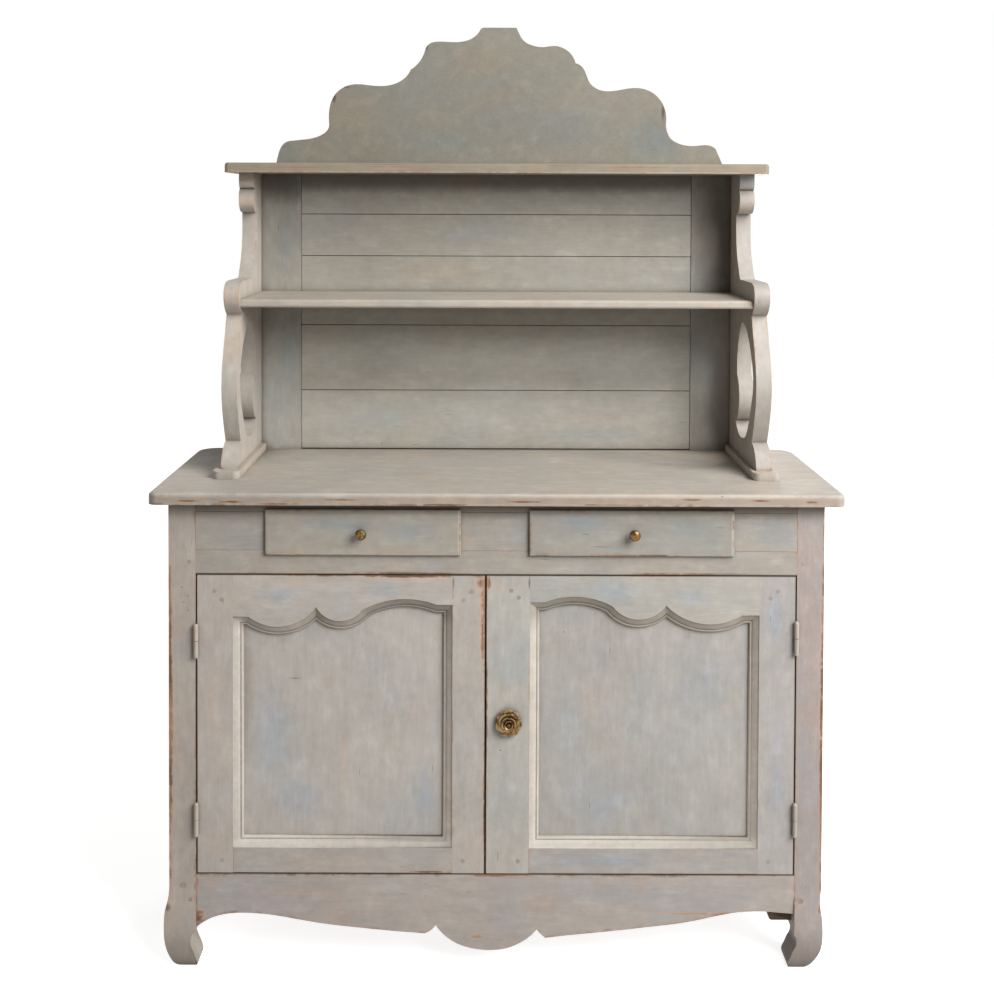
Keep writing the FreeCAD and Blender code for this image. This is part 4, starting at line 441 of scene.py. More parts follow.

# %% [markdown]
# ### Marks in their own places
#
# A recipe alone makes a cupboard that is worn by rule. This one has marks of its own: bare pine at
# the corner where the left door meets the right one, blue showing on the drawers, dark pegs, a bare
# patch at the end of the apron. Some marks are painted light: dark bands of painted shade under the
# counter and the shelves, painted shadows on the counter and on the right stile of the rack, and pale
# painted highlights on edges and slopes that face the lamp. Each mark is a soft ellipse on the front
# of its piece. Its middle is given in shares of the piece's own box, across and up, and its half width
# and half height in metres. Two more numbers place a mark further back: its share of the depth, and
# its half depth in metres. A mark as wide as EVERYWHERE is a band along the whole piece.

# %% List the marks
EVERYWHERE = 9.0
MARKS = {
    # piece: kind, share across, share up, half width, half height, strength
    "door_left_meeting_stile": [
        ("Bare", 0.86, 0.975, 0.014, 0.018, 0.8), ("Bare", 0.93, 0.84, 0.007, 0.100, 0.85),
        ("Bare", 0.99, 0.25, 0.004, 0.120, 0.7), ("Warm", 0.90, 0.84, 0.012, 0.110, 0.9),
        ("Dark", 0.01, 0.975, 0.003, 0.014, 0.7),
        ("Dark", 1.0, 0.5, 0.0016, EVERYWHERE, 0.7), ("Dark", 0.5, 1.0, EVERYWHERE, 0.0016, 0.8)],
    "door_left_top_rail": [
        ("Bare", 0.75, 0.985, 0.120, 0.005, 0.85), ("Bare", 0.41, 0.985, 0.120, 0.003, 0.7),
        ("Blue", 0.24, 0.61, 0.050, 0.020, 0.8), ("Blue", 0.66, 0.68, 0.044, 0.018, 0.8),
        ("Warm", 0.34, 0.84, 0.070, 0.008, 0.8), ("Warm", 0.75, 0.95, 0.130, 0.010, 0.8),
        ("Dark", 0.5, 1.0, EVERYWHERE, 0.0016, 0.75)],
    "door_left_hinge_stile": [("Warm", 0.44, 0.58, 0.020, 0.120, 0.5),
        ("Dark", 0.0, 0.5, 0.0018, EVERYWHERE, 0.8), ("Dark", 0.5, 1.0, EVERYWHERE, 0.0016, 0.8)],
    "door_left_panel": [
        ("Blue", 0.19, 0.44, 0.053, 0.120, 0.7), ("Warm", 0.50, 0.41, 0.008, 0.170, 0.8),
        ("Blue", 0.86, 0.19, 0.032, 0.080, 0.8), ("Blue", 0.31, 0.19, 0.060, 0.050, 0.7),
        ("Dark", 0.29, 0.666, 0.014, 0.002, 0.5), ("Warm", 0.09, 0.66, 0.010, 0.100, 0.6),
        ("Dark", 0.06, 0.66, 0.022, 0.200, 0.28)],
    "door_left_bottom_rail": [
        ("Warm", 0.45, 0.43, 0.120, 0.010, 0.6), ("Bare", 0.83, 0.06, 0.050, 0.003, 0.8),
        ("Dark", 0.5, 0.0, EVERYWHERE, 0.0016, 0.6)],
    "door_right_meeting_stile": [
        ("Bare", 0.04, 0.975, 0.009, 0.018, 0.85), ("Warm", 0.33, 0.965, 0.018, 0.014, 1.0),
        ("Dark", 0.99, 0.976, 0.003, 0.016, 0.7), ("Bare", 0.01, 0.58, 0.003, 0.180, 0.6),
        ("Dark", 0.0, 0.5, 0.0016, EVERYWHERE, 0.7), ("Dark", 0.5, 1.0, EVERYWHERE, 0.0016, 0.7)],
    "door_right_top_rail": [
        ("Blue", 0.37, 0.67, 0.070, 0.024, 0.8), ("Blue", 0.67, 0.57, 0.050, 0.020, 0.6),
        ("Bare", 0.52, 0.99, 0.070, 0.003, 0.4),
        ("Dark", 0.5, 1.0, EVERYWHERE, 0.0016, 0.6)],
    "door_right_hinge_stile": [
        ("Blue", 0.43, 0.86, 0.020, 0.060, 0.7), ("Blue", 0.55, 0.35, 0.018, 0.120, 0.6),
        ("Dark", 1.0, 0.5, 0.0016, EVERYWHERE, 0.7), ("Dark", 0.5, 1.0, EVERYWHERE, 0.0016, 0.6)],
    "door_right_panel": [
        ("Blue", 0.32, 0.19, 0.080, 0.070, 0.6), ("Blue", 0.74, 0.62, 0.060, 0.080, 0.5),
        ("Warm", 0.28, 0.58, 0.036, 0.060, 0.4), ("Blue", 0.19, 0.46, 0.036, 0.080, 0.4),
        ("Dark", 0.05, 0.66, 0.018, 0.200, 0.2)],
    # The band at the top is painted shade under the counter; the band at the foot makes the post darker
    # towards the bottom.
    "front_post_left": [
        ("Dark", 0.55, 0.817, 0.002, 0.002, 0.7), ("Dark", 0.73, 0.798, 0.002, 0.002, 0.7),
        ("Dark", 0.61, 0.785, 0.002, 0.002, 0.6), ("Dark", 0.73, 0.768, 0.002, 0.002, 0.7),
        ("Bare", 0.20, 0.53, 0.006, 0.400, 0.9), ("Dark", 0.10, 0.127, 0.008, 0.010, 0.7),
        ("Warm", 0.51, 0.45, 0.016, 0.120, 0.5), ("Dark", 0.5, 0.99, EVERYWHERE, 0.022, 0.35),
        ("Dark", 0.5, 0.0, EVERYWHERE, 0.075, 0.42),
        ("Dark", 0.967, 0.52, 0.0018, 0.32, 0.6)],
    # The band at the top is painted shade under the counter; the band at the foot makes the post darker
    # towards the bottom.
    "front_post_right": [
        ("Bare", 0.94, 0.54, 0.006, 0.380, 1.0), ("Warm", 0.54, 0.80, 0.020, 0.100, 0.5),
        ("Bare", 0.92, 0.127, 0.006, 0.012, 0.8), ("Blue", 0.44, 0.45, 0.016, 0.100, 0.6),
        ("Dark", 0.5, 0.99, EVERYWHERE, 0.022, 0.35), ("Dark", 0.5, 0.0, EVERYWHERE, 0.075, 0.48),
        ("Dark", 0.184, 0.52, 0.0018, 0.32, 0.55)],
    # On both doors' mouldings the pale marks on the left and lower slopes are painted highlights, and the
    # dark marks on the top and right slopes are painted shade.
    "door_left_mouldings": [
        ("Pale", 0.02, 0.5, 0.014, EVERYWHERE, 0.2), ("Pale", 0.5, 0.01, EVERYWHERE, 0.018, 0.55),
        ("Dark", 0.5, 0.965, EVERYWHERE, 0.045, 0.42), ("Dark", 0.99, 0.5, 0.014, EVERYWHERE, 0.12)],
    "door_right_mouldings": [
        ("Pale", 0.02, 0.5, 0.014, EVERYWHERE, 0.35), ("Pale", 0.5, 0.01, EVERYWHERE, 0.018, 0.6),
        ("Dark", 0.5, 0.965, EVERYWHERE, 0.045, 0.35), ("Dark", 0.99, 0.5, 0.014, EVERYWHERE, 0.10)],
    "door_left_hinge_halves": [
        ("Dark", 0.5, 0.081, EVERYWHERE, 0.0018, 0.8), ("Dark", 0.5, 0.919, EVERYWHERE, 0.0018, 0.8)],
    "door_right_hinge_halves": [
        ("Dark", 0.5, 0.080, EVERYWHERE, 0.0018, 0.8), ("Dark", 0.5, 0.920, EVERYWHERE, 0.0018, 0.8)],
    # The band at the top is painted shade under the counter.
    "frieze_muntins": [
        ("Dark", 0.5, 1.0, EVERYWHERE, 0.022, 0.5), ("Blue", 0.97, 0.45, 0.060, 0.050, 0.8),
        ("Blue", 0.55, 0.45, 0.050, 0.040, 0.6), ("Warm", 0.44, 0.30, 0.040, 0.020, 0.6)],
    # This band is painted shade under the counter.
    "top_front_rail": [("Dark", 0.5, 1.0, EVERYWHERE, 0.040, 0.6)],
    "door_right_bottom_rail": [
        ("Dark", 0.5, 0.0, EVERYWHERE, 0.0016, 0.6), ("Blue", 0.35, 0.5, 0.120, 0.014, 0.6),
        ("Warm", 0.80, 0.6, 0.080, 0.010, 0.5)],
    "drawer_rail": [
        ("Dark", 0.38, 0.03, 0.120, 0.002, 0.7), ("Dark", 0.87, 0.05, 0.080, 0.002, 0.6),
        ("Bare", 0.36, 0.06, 0.160, 0.003, 0.5), ("Bare", 0.78, 0.05, 0.120, 0.003, 0.5),
        ("Dark", 0.5, 0.0, EVERYWHERE, 0.0020, 0.75)],
    "apron_front": [
        ("Bare", 0.018, 0.44, 0.026, 0.018, 1.0), ("Bare", 0.50, 0.99, 0.056, 0.004, 0.8),
        ("Bare", 0.47, 0.17, 0.018, 0.006, 0.85), ("Warm", 0.02, 0.45, 0.026, 0.020, 1.0),
        ("Warm", 0.19, 0.75, 0.120, 0.018, 0.7),
        ("Blue", 0.73, 0.74, 0.140, 0.024, 0.7), ("Warm", 0.58, 0.60, 0.040, 0.020, 0.6),
        ("Bare", 0.83, 0.49, 0.120, 0.004, 0.5),
        ("Dark", 0.5, 1.0, EVERYWHERE, 0.0020, 0.6)],
    "apron_corner_blocks": [("Bare", 0.978, 0.15, 0.020, 0.006, 1.0)],
    # On both drawer fronts the band at the top is painted shade under the counter, the dark left edge is
    # painted shade and the pale right edge is a painted highlight.
    "drawer_left_front": [
        ("Blue", 0.38, 0.66, 0.100, 0.018, 0.8), ("Blue", 0.74, 0.52, 0.070, 0.024, 0.8),
        ("Warm", 0.18, 0.14, 0.076, 0.008, 0.9), ("Warm", 0.64, 0.13, 0.090, 0.008, 0.8),
        ("Bare", 0.33, 0.02, 0.180, 0.002, 0.5), ("Pale", 0.99, 0.50, 0.003, 0.070, 0.9),
        ("Dark", 0.5, 1.0, EVERYWHERE, 0.013, 0.4), ("Dark", 0.0, 0.5, 0.006, 0.070, 0.3)],
    "drawer_right_front": [
        ("Blue", 0.25, 0.68, 0.064, 0.022, 0.8), ("Blue", 0.78, 0.63, 0.050, 0.024, 0.8),
        ("Warm", 0.15, 0.15, 0.056, 0.008, 0.7), ("Dark", 0.35, 0.21, 0.024, 0.001, 0.5),
        ("Pale", 0.99, 0.52, 0.003, 0.070, 0.9), ("Bare", 0.54, 0.03, 0.140, 0.002, 0.5),
        ("Dark", 0.5, 1.0, EVERYWHERE, 0.013, 0.4), ("Dark", 0.0, 0.5, 0.006, 0.070, 0.3)],
    # The pale band along the front's upper arris is a painted highlight, and the last dark mark, at the rear
    # left corner, is a painted shadow of the rack's left side.
    "countertop": [
        ("Pale", 0.50, 0.95, EVERYWHERE, 0.0020, 0.6, 0.0, 0.004),
        ("Warm", 0.50, 0.40, EVERYWHERE, 0.010, 1.0, 0.0, 0.010),
        ("Dark", 0.50, 0.40, EVERYWHERE, 0.012, 0.30, 0.0, 0.012),
        ("Dark", 0.50, 0.0, EVERYWHERE, 0.003, 0.3),
        ("Bare", 0.06, 0.35, 0.028, 0.003, 0.85), ("Bare", 0.12, 0.28, 0.032, 0.003, 0.95),
        ("Bare", 0.28, 0.48, 0.056, 0.003, 0.75), ("Bare", 0.54, 0.36, 0.052, 0.003, 0.9),
        ("Bare", 0.78, 0.58, 0.040, 0.003, 0.75), ("Bare", 0.88, 0.51, 0.036, 0.003, 0.85),
        ("Dark", 0.20, 0.38, 0.012, 0.001, 0.6), ("Dark", 0.28, 0.22, 0.016, 0.001, 0.6),
        ("Dark", 0.34, 0.24, 0.012, 0.001, 0.5), ("Dark", 0.22, 0.63, 0.010, 0.001, 0.5),
        ("Bare", 0.19, 0.12, 0.060, 0.0025, 0.8), ("Bare", 0.42, 0.10, 0.090, 0.002, 0.8),
        ("Bare", 0.66, 0.12, 0.100, 0.002, 0.8), ("Bare", 0.95, 0.40, 0.018, 0.004, 0.9),
        ("Pale", 0.59, 1.0, 0.012, 0.010, 0.8, 0.66, 0.006),
        ("Dark", 0.04, 1.0, 0.150, 0.030, 1.0, 0.92, 0.200)],
    "crest_board": [
        ("Warm", 0.17, 0.38, 0.075, 0.052, 0.6), ("Warm", 0.46, 0.75, 0.094, 0.047, 0.55),
        ("Warm", 0.51, 0.53, 0.052, 0.037, 0.5), ("Blue", 0.64, 0.27, 0.140, 0.056, 0.6),
        ("Blue", 0.50, 0.59, 0.059, 0.023, 0.6), ("Blue", 0.37, 0.18, 0.140, 0.035, 0.5),
        ("Blue", 0.85, 0.18, 0.080, 0.050, 0.9), ("Warm", 0.93, 0.12, 0.028, 0.014, 0.3),
        ("Dark", 0.13, 0.49, 0.005, 0.016, 0.9), ("Dark", 0.156, 0.566, 0.012, 0.003, 0.7),
        ("Dark", 0.865, 0.39, 0.005, 0.023, 0.8), ("Dark", 0.337, 0.865, 0.004, 0.012, 0.8)],
    "rack_top_shelf": [
        ("Warm", 0.50, 0.50, EVERYWHERE, 0.006, 0.9, 0.0, 0.010),
        ("Pale", 0.50, 0.10, EVERYWHERE, 0.002, 0.5, 0.0, 0.006),
        ("Bare", 0.14, 0.50, 0.100, 0.002, 0.6), ("Bare", 0.32, 0.60, 0.150, 0.002, 0.5),
        ("Bare", 0.76, 0.62, 0.150, 0.002, 0.5), ("Dark", 0.30, 0.85, 0.110, 0.001, 0.4),
        ("Dark", 0.62, 0.80, 0.090, 0.001, 0.4)],
    # The dark bands just under the top shelf and under the middle shelf are painted shade; the broad dark
    # band and the two pale bands make whole boards darker or lighter, partly as painted light.
    "rack_back_boards": [
        ("Dark", 0.50, 0.0, EVERYWHERE, 0.0028, 0.85),
        ("Dark", 0.50, 0.985, EVERYWHERE, 0.038, 0.7), ("Dark", 0.50, 0.51, EVERYWHERE, 0.020, 0.25),
        ("Dark", 0.50, 0.70, EVERYWHERE, 0.200, 0.23), ("Dark", 0.20, 0.32, 0.070, 0.060, 0.16),
        ("Warm", 0.36, 0.65, 0.140, 0.021, 0.6), ("Warm", 0.77, 0.11, 0.140, 0.028, 0.5),
        ("Blue", 0.20, 0.11, 0.106, 0.028, 0.7),
        ("Blue", 0.43, 0.78, 0.094, 0.024, 0.5), ("Blue", 0.75, 0.06, 0.140, 0.020, 0.7),
        ("Pale", 0.50, 0.14, EVERYWHERE, 0.060, 0.26), ("Pale", 0.50, 0.35, EVERYWHERE, 0.050, 0.30)],
    # The dark marks are painted shade: on the right stile the shadow of the rack's right side, on the left
    # stile the shade under the top shelf and in the upper bay. The pale marks lighten the lower stiles as
    # painted light.
    "rack_back_stiles": [
        ("Dark", 0.97, 0.82, 0.10, 0.26, 0.72), ("Dark", 0.05, 0.97, 0.08, 0.060, 0.7),
        ("Dark", 0.05, 0.76, 0.08, 0.140, 0.18),
        ("Blue", 0.05, 0.76, 0.028, 0.075, 0.6), ("Blue", 0.04, 0.18, 0.028, 0.075, 0.6),
        ("Pale", 0.04, 0.20, 0.100, 0.180, 0.42), ("Pale", 0.96, 0.26, 0.060, 0.160, 0.42),
        ("Blue", 0.96, 0.32, 0.030, 0.080, 0.9)],
    "rack_side_left": [
        ("Warm", 0.5, 0.895, EVERYWHERE, 0.022, 0.9, 0.63, 0.040),
        ("Warm", 0.5, 0.575, EVERYWHERE, 0.026, 0.8, 0.10, 0.060),
        ("Warm", 0.5, 0.40, EVERYWHERE, 0.040, 0.6, 0.05, 0.050),
        ("Bare", 0.5, 0.975, EVERYWHERE, 0.008, 0.4, 0.63, 0.020),
        ("Dark", 0.5, 0.944, EVERYWHERE, 0.003, 0.4, 0.65, 0.020)],
    "rack_side_right": [
        ("Warm", 0.5, 0.885, EVERYWHERE, 0.012, 0.8, 0.63, 0.030),
        ("Blue", 0.5, 0.97, EVERYWHERE, 0.016, 0.7, 0.63, 0.030),
        ("Dark", 0.5, 0.944, EVERYWHERE, 0.003, 0.4, 0.65, 0.020)],
}
print(sum(len(marks) for marks in MARKS.values()), "marks on", len(MARKS), "pieces")

# %% [markdown]
# A mark is painted into the depth of the wood, and on a thin board it would come out at the back.
# So it reaches at most seven tenths of the way through its piece. The sloping mouldings are the
# exception: their faces run through the whole depth.

# %% Turn marks into masks
MARK_DEPTH = 0.05
DEPTH_SHARE = 0.7
RIM_STARTS, RIM_ENDS = 1.25, 0.15
RAGGED = {"Bare": 1.2, "Blue": 0.9, "Warm": 0.9, "Dark": 0.35, "Pale": 0.5}


def mark_mask(tree, piece, marks):
    """One soft mask, full inside each mark, with a ragged rim."""
    low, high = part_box(piece)
    mark_depth = MARK_DEPTH if "mouldings" in piece else min(MARK_DEPTH, DEPTH_SHARE * (high[1] - low[1]))
    where = add(tree, "ShaderNodeTexCoord").outputs["Object"]
    ragged = calculate(tree, "SUBTRACT", pattern(tree, where, 45.0, 4.0), 0.5)
    total = 0.0
    for kind, across, up, half_width, half_height, strength, *behind in marks:
        deep, half_depth = behind or (0, mark_depth)
        shares = (across, deep, up)
        middle = tuple(a + share * (b - a) for a, b, share in zip(low, high, shares))
        away = vector(tree, "SUBTRACT", where, middle)
        away = vector(tree, "DIVIDE", away, (half_width, half_depth, half_height))
        length = add(tree, "ShaderNodeVectorMath", operation="LENGTH")
        feed(tree, length.inputs[0], away)
        shift = calculate(tree, "MULTIPLY", ragged, RAGGED[kind])
        rim = calculate(tree, "ADD", length.outputs["Value"], shift)
        total = calculate(tree, "MAXIMUM", total, mask(tree, rim, RIM_STARTS, RIM_ENDS, strength))
    return total


print("mark masks ready")

# %% Paint a piece
ALONG = {"X": (0.14, 1.0, 1.0), "Y": (1.0, 0.14, 1.0), "Z": (1.0, 1.0, 0.14), "none": (0.7, 1.0, 1.0)}
BUMP_HEIGHT = 0.0007
PAINT_BUMP, PINE_BUMP, METAL_BUMP = 0.7, 0.5, 0.4
WOOD_GLOSS = 0.3


def shader_with_bump(tree, color, roughness, height, strength):
    """The last steps of every finish: a shader with a bumped surface."""
    shader = add(tree, "ShaderNodeBsdfPrincipled")
    bump = add(tree, "ShaderNodeBump")
    bump.inputs["Strength"].default_value = strength
    bump.inputs["Distance"].default_value = BUMP_HEIGHT
    feed(tree, shader.inputs["Base Color"], color)
    feed(tree, shader.inputs["Roughness"], roughness)
    feed(tree, bump.inputs["Height"], height)
    feed(tree, shader.inputs["Normal"], bump.outputs["Normal"])
    feed(tree, add(tree, "ShaderNodeOutputMaterial").inputs["Surface"], shader.outputs[0])
    return shader


def painted(name, piece, along, seed, tone, **settings):
    """A material with the worn paint, set for one piece and its marks."""
    material, tree = new_material(name)
    coat = add(tree, "ShaderNodeGroup", node_tree=paint)
    coat.inputs["Along"].default_value = ALONG[along]
    coat.inputs["Tone"].default_value = srgb(*tone)
    coat.inputs["Seed"].default_value = seed
    for key, value in settings.items():
        coat.inputs[key].default_value = value
    for kind in KINDS:
        marks = [mark for mark in MARKS.get(piece, []) if mark[0] == kind]
        if marks:
            feed(tree, coat.inputs[kind + " here"], mark_mask(tree, piece, marks))
    shader = shader_with_bump(tree, coat.outputs["Color"], coat.outputs["Roughness"],
                              coat.outputs["Height"], PAINT_BUMP)
    shader.inputs["Specular IOR Level"].default_value = WOOD_GLOSS
    return material


def finish(piece, material):
    """Gives a CAD piece its finish."""
    slots = nodes[piece].data.materials
    slots.clear()
    slots.append(material)


print("ready to paint")

# %% [markdown]
# ### Every painted piece
#
# The grain of a frame runs along each of its members, so rails are brushed along X, posts and
# stiles along Z and the cabinet's side rails along Y. The tone is what the coat is multiplied with,
# and part of it is painted light: a piece that the lamps light too much or too little has a darker
# or lighter tone. The crest and the top shelf are darker than the doors; on the crest this is painted
# shade, for the weaker light up there.

# %% Paint the pieces
PAINTED = {
    # piece: along, tone, blue, warm, wear, dirt and shade, change from board to board
    "countertop": ("X", (250, 247, 243), 0.36, 0.36, 0.75, 0.6, 0),
    "top_front_rail": ("X", (224, 220, 214), 0.4, 0.32, 0.3, 0.8, 0),
    "drawer_rail": ("X", (228, 225, 221), 0.56, 0.32, 0.5, 0.8, 0),
    "frieze_muntins": ("X", (228, 225, 221), 0.56, 0.32, 0.2, 0.8, 0),
    "apron_front": ("X", (237, 232, 232), 0.48, 0.48, 0.8, 0.6, 0),
    "apron_corner_blocks": ("X", (120, 105, 90), 0.16, 0.48, 0.6, 0.8, 0),
    "front_post_left": ("Z", (241, 235, 232), 0.4, 0.4, 0.7, 0.6, 0),
    "front_post_right": ("Z", (230, 223, 226), 0.4, 0.48, 0.7, 0.6, 0),
    "rear_posts": ("Z", (225, 222, 218), 0.4, 0.4, 0.5, 0.7, 0.5),
    "side_top_rails": ("Y", (234, 230, 226), 0.4, 0.4, 0.3, 0.7, 0.3),
    "side_bottom_rails": ("Y", (234, 230, 226), 0.4, 0.4, 0.4, 0.7, 0.3),
    "side_panels": ("Z", (240, 236, 232), 0.4, 0.4, 0.3, 0.7, 0.3),
    "back_rails": ("X", (225, 220, 210), 0.24, 0.4, 0.4, 0.8, 0.5),
    "cabinet_back_boards": ("Z", (225, 220, 210), 0.24, 0.4, 0.4, 0.8, 1.0),
    # The crest's darker tone is partly painted shade.
    "crest_board": ("none", (184, 184, 176), 0.36, 0.28, 0.5, 0.5, 0),
    "rack_top_shelf": ("X", (196, 191, 177), 0.16, 0.4, 0.5, 0.6, 0),
    "rack_middle_shelf": ("X", (250, 246, 240), 0.24, 0.4, 0.5, 0.7, 0),
    "rack_back_stiles": ("Z", (226, 229, 227), 0.56, 0.16, 0.2, 0.8, 0.2),
    "rack_back_boards": ("X", (244, 246, 242), 0.32, 0.24, 0.06, 0.9, 0),
    "rack_side_left": ("Z", (255, 253, 250), 0.24, 0.32, 0.4, 0.6, 0),
    "rack_side_right": ("Z", (245, 243, 242), 0.32, 0.32, 0.5, 0.6, 0),
    "rack_sled_feet": ("Y", (255, 252, 248), 0.24, 0.4, 0.35, 0.6, 0),
    "drawer_left_front": ("X", (224, 223, 218), 0.32, 0.32, 0.6, 0.6, 0),
    "drawer_right_front": ("X", (214, 216, 214), 0.32, 0.32, 0.6, 0.6, 0),
    "door_left_hinge_stile": ("Z", (250, 246, 245), 0.32, 0.48, 0.2, 0.8, 0),
    "door_left_meeting_stile": ("Z", (245, 243, 243), 0.24, 0.48, 0.5, 0.8, 0),
    "door_left_top_rail": ("X", (250, 248, 248), 0.4, 0.32, 0.25, 0.8, 0),
    "door_left_bottom_rail": ("X", (238, 234, 233), 0.4, 0.4, 0.3, 0.8, 0),
    "door_left_panel": ("Z", (248, 247, 248), 0.32, 0.32, 0.0, 0.9, 0),
    "door_left_mouldings": ("none", (246, 242, 238), 0.16, 0.16, 0.1, 0.9, 0),
    "door_left_pegs": ("none", (222, 216, 214), 0.16, 0.32, 0.0, 0.6, 0),
    "door_right_hinge_stile": ("Z", (236, 236, 241), 0.32, 0.32, 0.2, 0.8, 0),
    "door_right_meeting_stile": ("Z", (246, 249, 250), 0.4, 0.32, 0.4, 0.8, 0),
    "door_right_top_rail": ("X", (238, 240, 240), 0.4, 0.24, 0.25, 0.8, 0),
    "door_right_bottom_rail": ("X", (232, 232, 236), 0.4, 0.32, 0.3, 0.8, 0),
    "door_right_panel": ("Z", (234, 236, 239), 0.32, 0.32, 0.0, 0.9, 0),
    "door_right_mouldings": ("none", (240, 236, 230), 0.08, 0.24, 0.1, 0.9, 0),
    "door_right_pegs": ("none", (214, 214, 212), 0.16, 0.32, 0.0, 0.6, 0),
    "carcass_pegs": ("none", (222, 216, 213), 0.16, 0.32, 0.0, 0.6, 0),
}
for seed, (piece, row) in enumerate(PAINTED.items()):
    along, tone, *amounts = row
    settings = dict(zip(("Blue", "Warm", "Wear", "Dirt and shade", "Boards"), amounts))
    finish(piece, painted("paint " + piece.replace("_", " "), piece, along, seed + 1, tone, **settings))
print(len(PAINTED), "painted pieces")

# %% [markdown]
# ## Bare pine
#
# The drawers' sides, the runners and the shelf inside were never painted. They are old pine, brown
# with age, with darker rings and fine pores along the board.

# %% Leave the inside bare
BARE = {
    "cabinet_floor": "X", "inner_shelf": "X", "shelf_cleats": "Y", "drawer_runners": "Y",
    "rack_dowels": "Z", "drawer_left_sides": "Y", "drawer_left_back": "X", "drawer_left_bottom": "X",
    "drawer_right_sides": "Y", "drawer_right_back": "X", "drawer_right_bottom": "X",
}
OLD_PINE = srgb(178, 146, 108)
RING = srgb(136, 101, 70)
PINE_ROUGHNESS, RING_ROUGHER = 0.6, 0.25


def bare_pine(name, along, seed):
    """Old unpainted pine with its grain along one direction."""
    material, tree = new_material(name)
    place = vector(tree, "ADD", add(tree, "ShaderNodeTexCoord").outputs["Object"], (seed, seed, seed))
    place = vector(tree, "MULTIPLY", place, ALONG[along])
    rings = pattern(tree, place, 38.0, 5.0)
    pores = pattern(tree, place, 260.0, 3.0, 0.7)
    tone = lay_over(tree, mask(tree, rings, 0.36, 0.66), OLD_PINE, RING)
    tone = lay_over(tree, mask(tree, pores, 0.55, 0.80, 0.5), tone, PINE_DARK)
    rougher = calculate(tree, "MULTIPLY", rings, RING_ROUGHER)
    roughness = calculate(tree, "ADD", PINE_ROUGHNESS, rougher)
    shader = shader_with_bump(tree, tone, roughness, pores, PINE_BUMP)
    shader.inputs["Specular IOR Level"].default_value = WOOD_GLOSS
    return material


for seed, (piece, along) in enumerate(BARE.items()):
    finish(piece, bare_pine("pine " + piece.replace("_", " "), along, seed + 0.5))
print(len(BARE), "pieces of bare pine")

# %% [markdown]
# ## Metals
#
# The drawer knobs are brass gone dull, the rosette is darker brass with bright edges, and the latch
# and the bolt are iron. All three are one recipe: dark in the hollows, brighter where fingers rub,
# with a cloudy tarnish between. The hinges were painted over with the doors.

# %% Finish the metals
METALS = {
    # name: bright, dark, roughness, scale of the tarnish, pieces
    "dull brass": ((122, 97, 62), (56, 40, 24), 0.48, 160.0, ("drawer_left_knob", "drawer_right_knob")),
    "dark brass": ((148, 122, 84), (62, 42, 20), 0.50, 90.0, ("rosette_knob",)),
    "grey iron": ((112, 106, 98), (58, 52, 46), 0.55, 120.0,
                  ("latch_tongue", "left_slide_bolt", "left_bolt_staples")),
}
HOLLOW_REACH = 0.004
TARNISH_ROUGHER, RUBBED_SMOOTHER = 0.15, 0.08
HINGE_TONE = (240, 235, 226)
HINGE_SEED = 50


def old_metal(name, bright, dark, roughness, scale):
    """An old metal: bright where it is rubbed, dark where it is not."""
    material, tree = new_material(name)
    tarnish = pattern(tree, add(tree, "ShaderNodeTexCoord").outputs["Object"], scale, 4.0)
    open_side = add(tree, "ShaderNodeAmbientOcclusion", samples=4)
    open_side.inputs["Distance"].default_value = HOLLOW_REACH
    rubbed = calculate(tree, "MULTIPLY", mask(tree, open_side.outputs["AO"], 0.55, 1.0),
                       mask(tree, tarnish, 0.30, 0.62))
    rough = add(tree, "ShaderNodeMapRange", To_Min=roughness + TARNISH_ROUGHER,
                To_Max=roughness - RUBBED_SMOOTHER)
    feed(tree, rough.inputs["Value"], rubbed)
    shader = shader_with_bump(tree, lay_over(tree, rubbed, srgb(*dark), srgb(*bright)),
                              rough.outputs["Result"], tarnish, METAL_BUMP)
    shader.inputs["Metallic"].default_value = 1.0
    return material


for name, (bright, dark, roughness, scale, pieces) in METALS.items():
    metal = old_metal(name, bright, dark, roughness, scale)
    for piece in pieces:
        finish(piece, metal)
for piece in ("hinge_pintles", "door_left_hinge_halves", "door_right_hinge_halves"):
    name = "paint " + piece.replace("_", " ")
    finish(piece, painted(name, piece, "Z", HINGE_SEED, HINGE_TONE, Wear=0.15, Warm=0.3))
print(len(METALS), "metals")

# %% [markdown]
# ## The rosette
#
# The right door's knob is a small cast rose. Its CAD solid has the right size and turns with the
# latch, but petals are thin, cupped and overlapping, which is quicker to make as bent sheets. Each
# petal is a grid of points in polar coordinates: it starts near the middle, rises towards its rim
# and curls back there. One side of it lies a little higher than the other, so every petal tucks
# under its neighbour. The corner cut rounds a petal's outer corners, and the bends say how late it
# rises and curls. A solidify modifier gives the sheets their thickness and a subdivision surface
# rounds them. The rose and its spindle stand for the CAD knob and turn with it.

# %% Bend the petals
PETAL_RINGS = [
    # petals, first angle, half width, near and far radius, low and high rise, curl (degrees, metres)
    (7, 90, 31, 0.0060, 0.0275, 0.0012, 0.0058, 0.0030),
    (5, 64, 42, 0.0045, 0.0222, 0.0036, 0.0112, 0.0030),
    (3, 30, 66, 0.0030, 0.0160, 0.0070, 0.0150, 0.0022),
    (3, 95, 70, 0.0012, 0.0092, 0.0098, 0.0172, 0.0010),
]
ACROSS, OUTWARD = 9, 6
CORNER_CUT, CORNER_BEND = 0.17, 2.4
RISE_BEND, CURL_BEND = 1.3, 5
PETAL_TILT = 0.0015
PETAL_THICKNESS = 0.0008
STANDOFF = 0.006

low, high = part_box("rosette_knob")
rose_x, rose_z = (low[0] + high[0]) / 2, (low[2] + high[2]) / 2
rose_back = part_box("door_right_meeting_stile")[0][1] - STANDOFF
stretch = (high[2] - low[2]) / (high[0] - low[0])


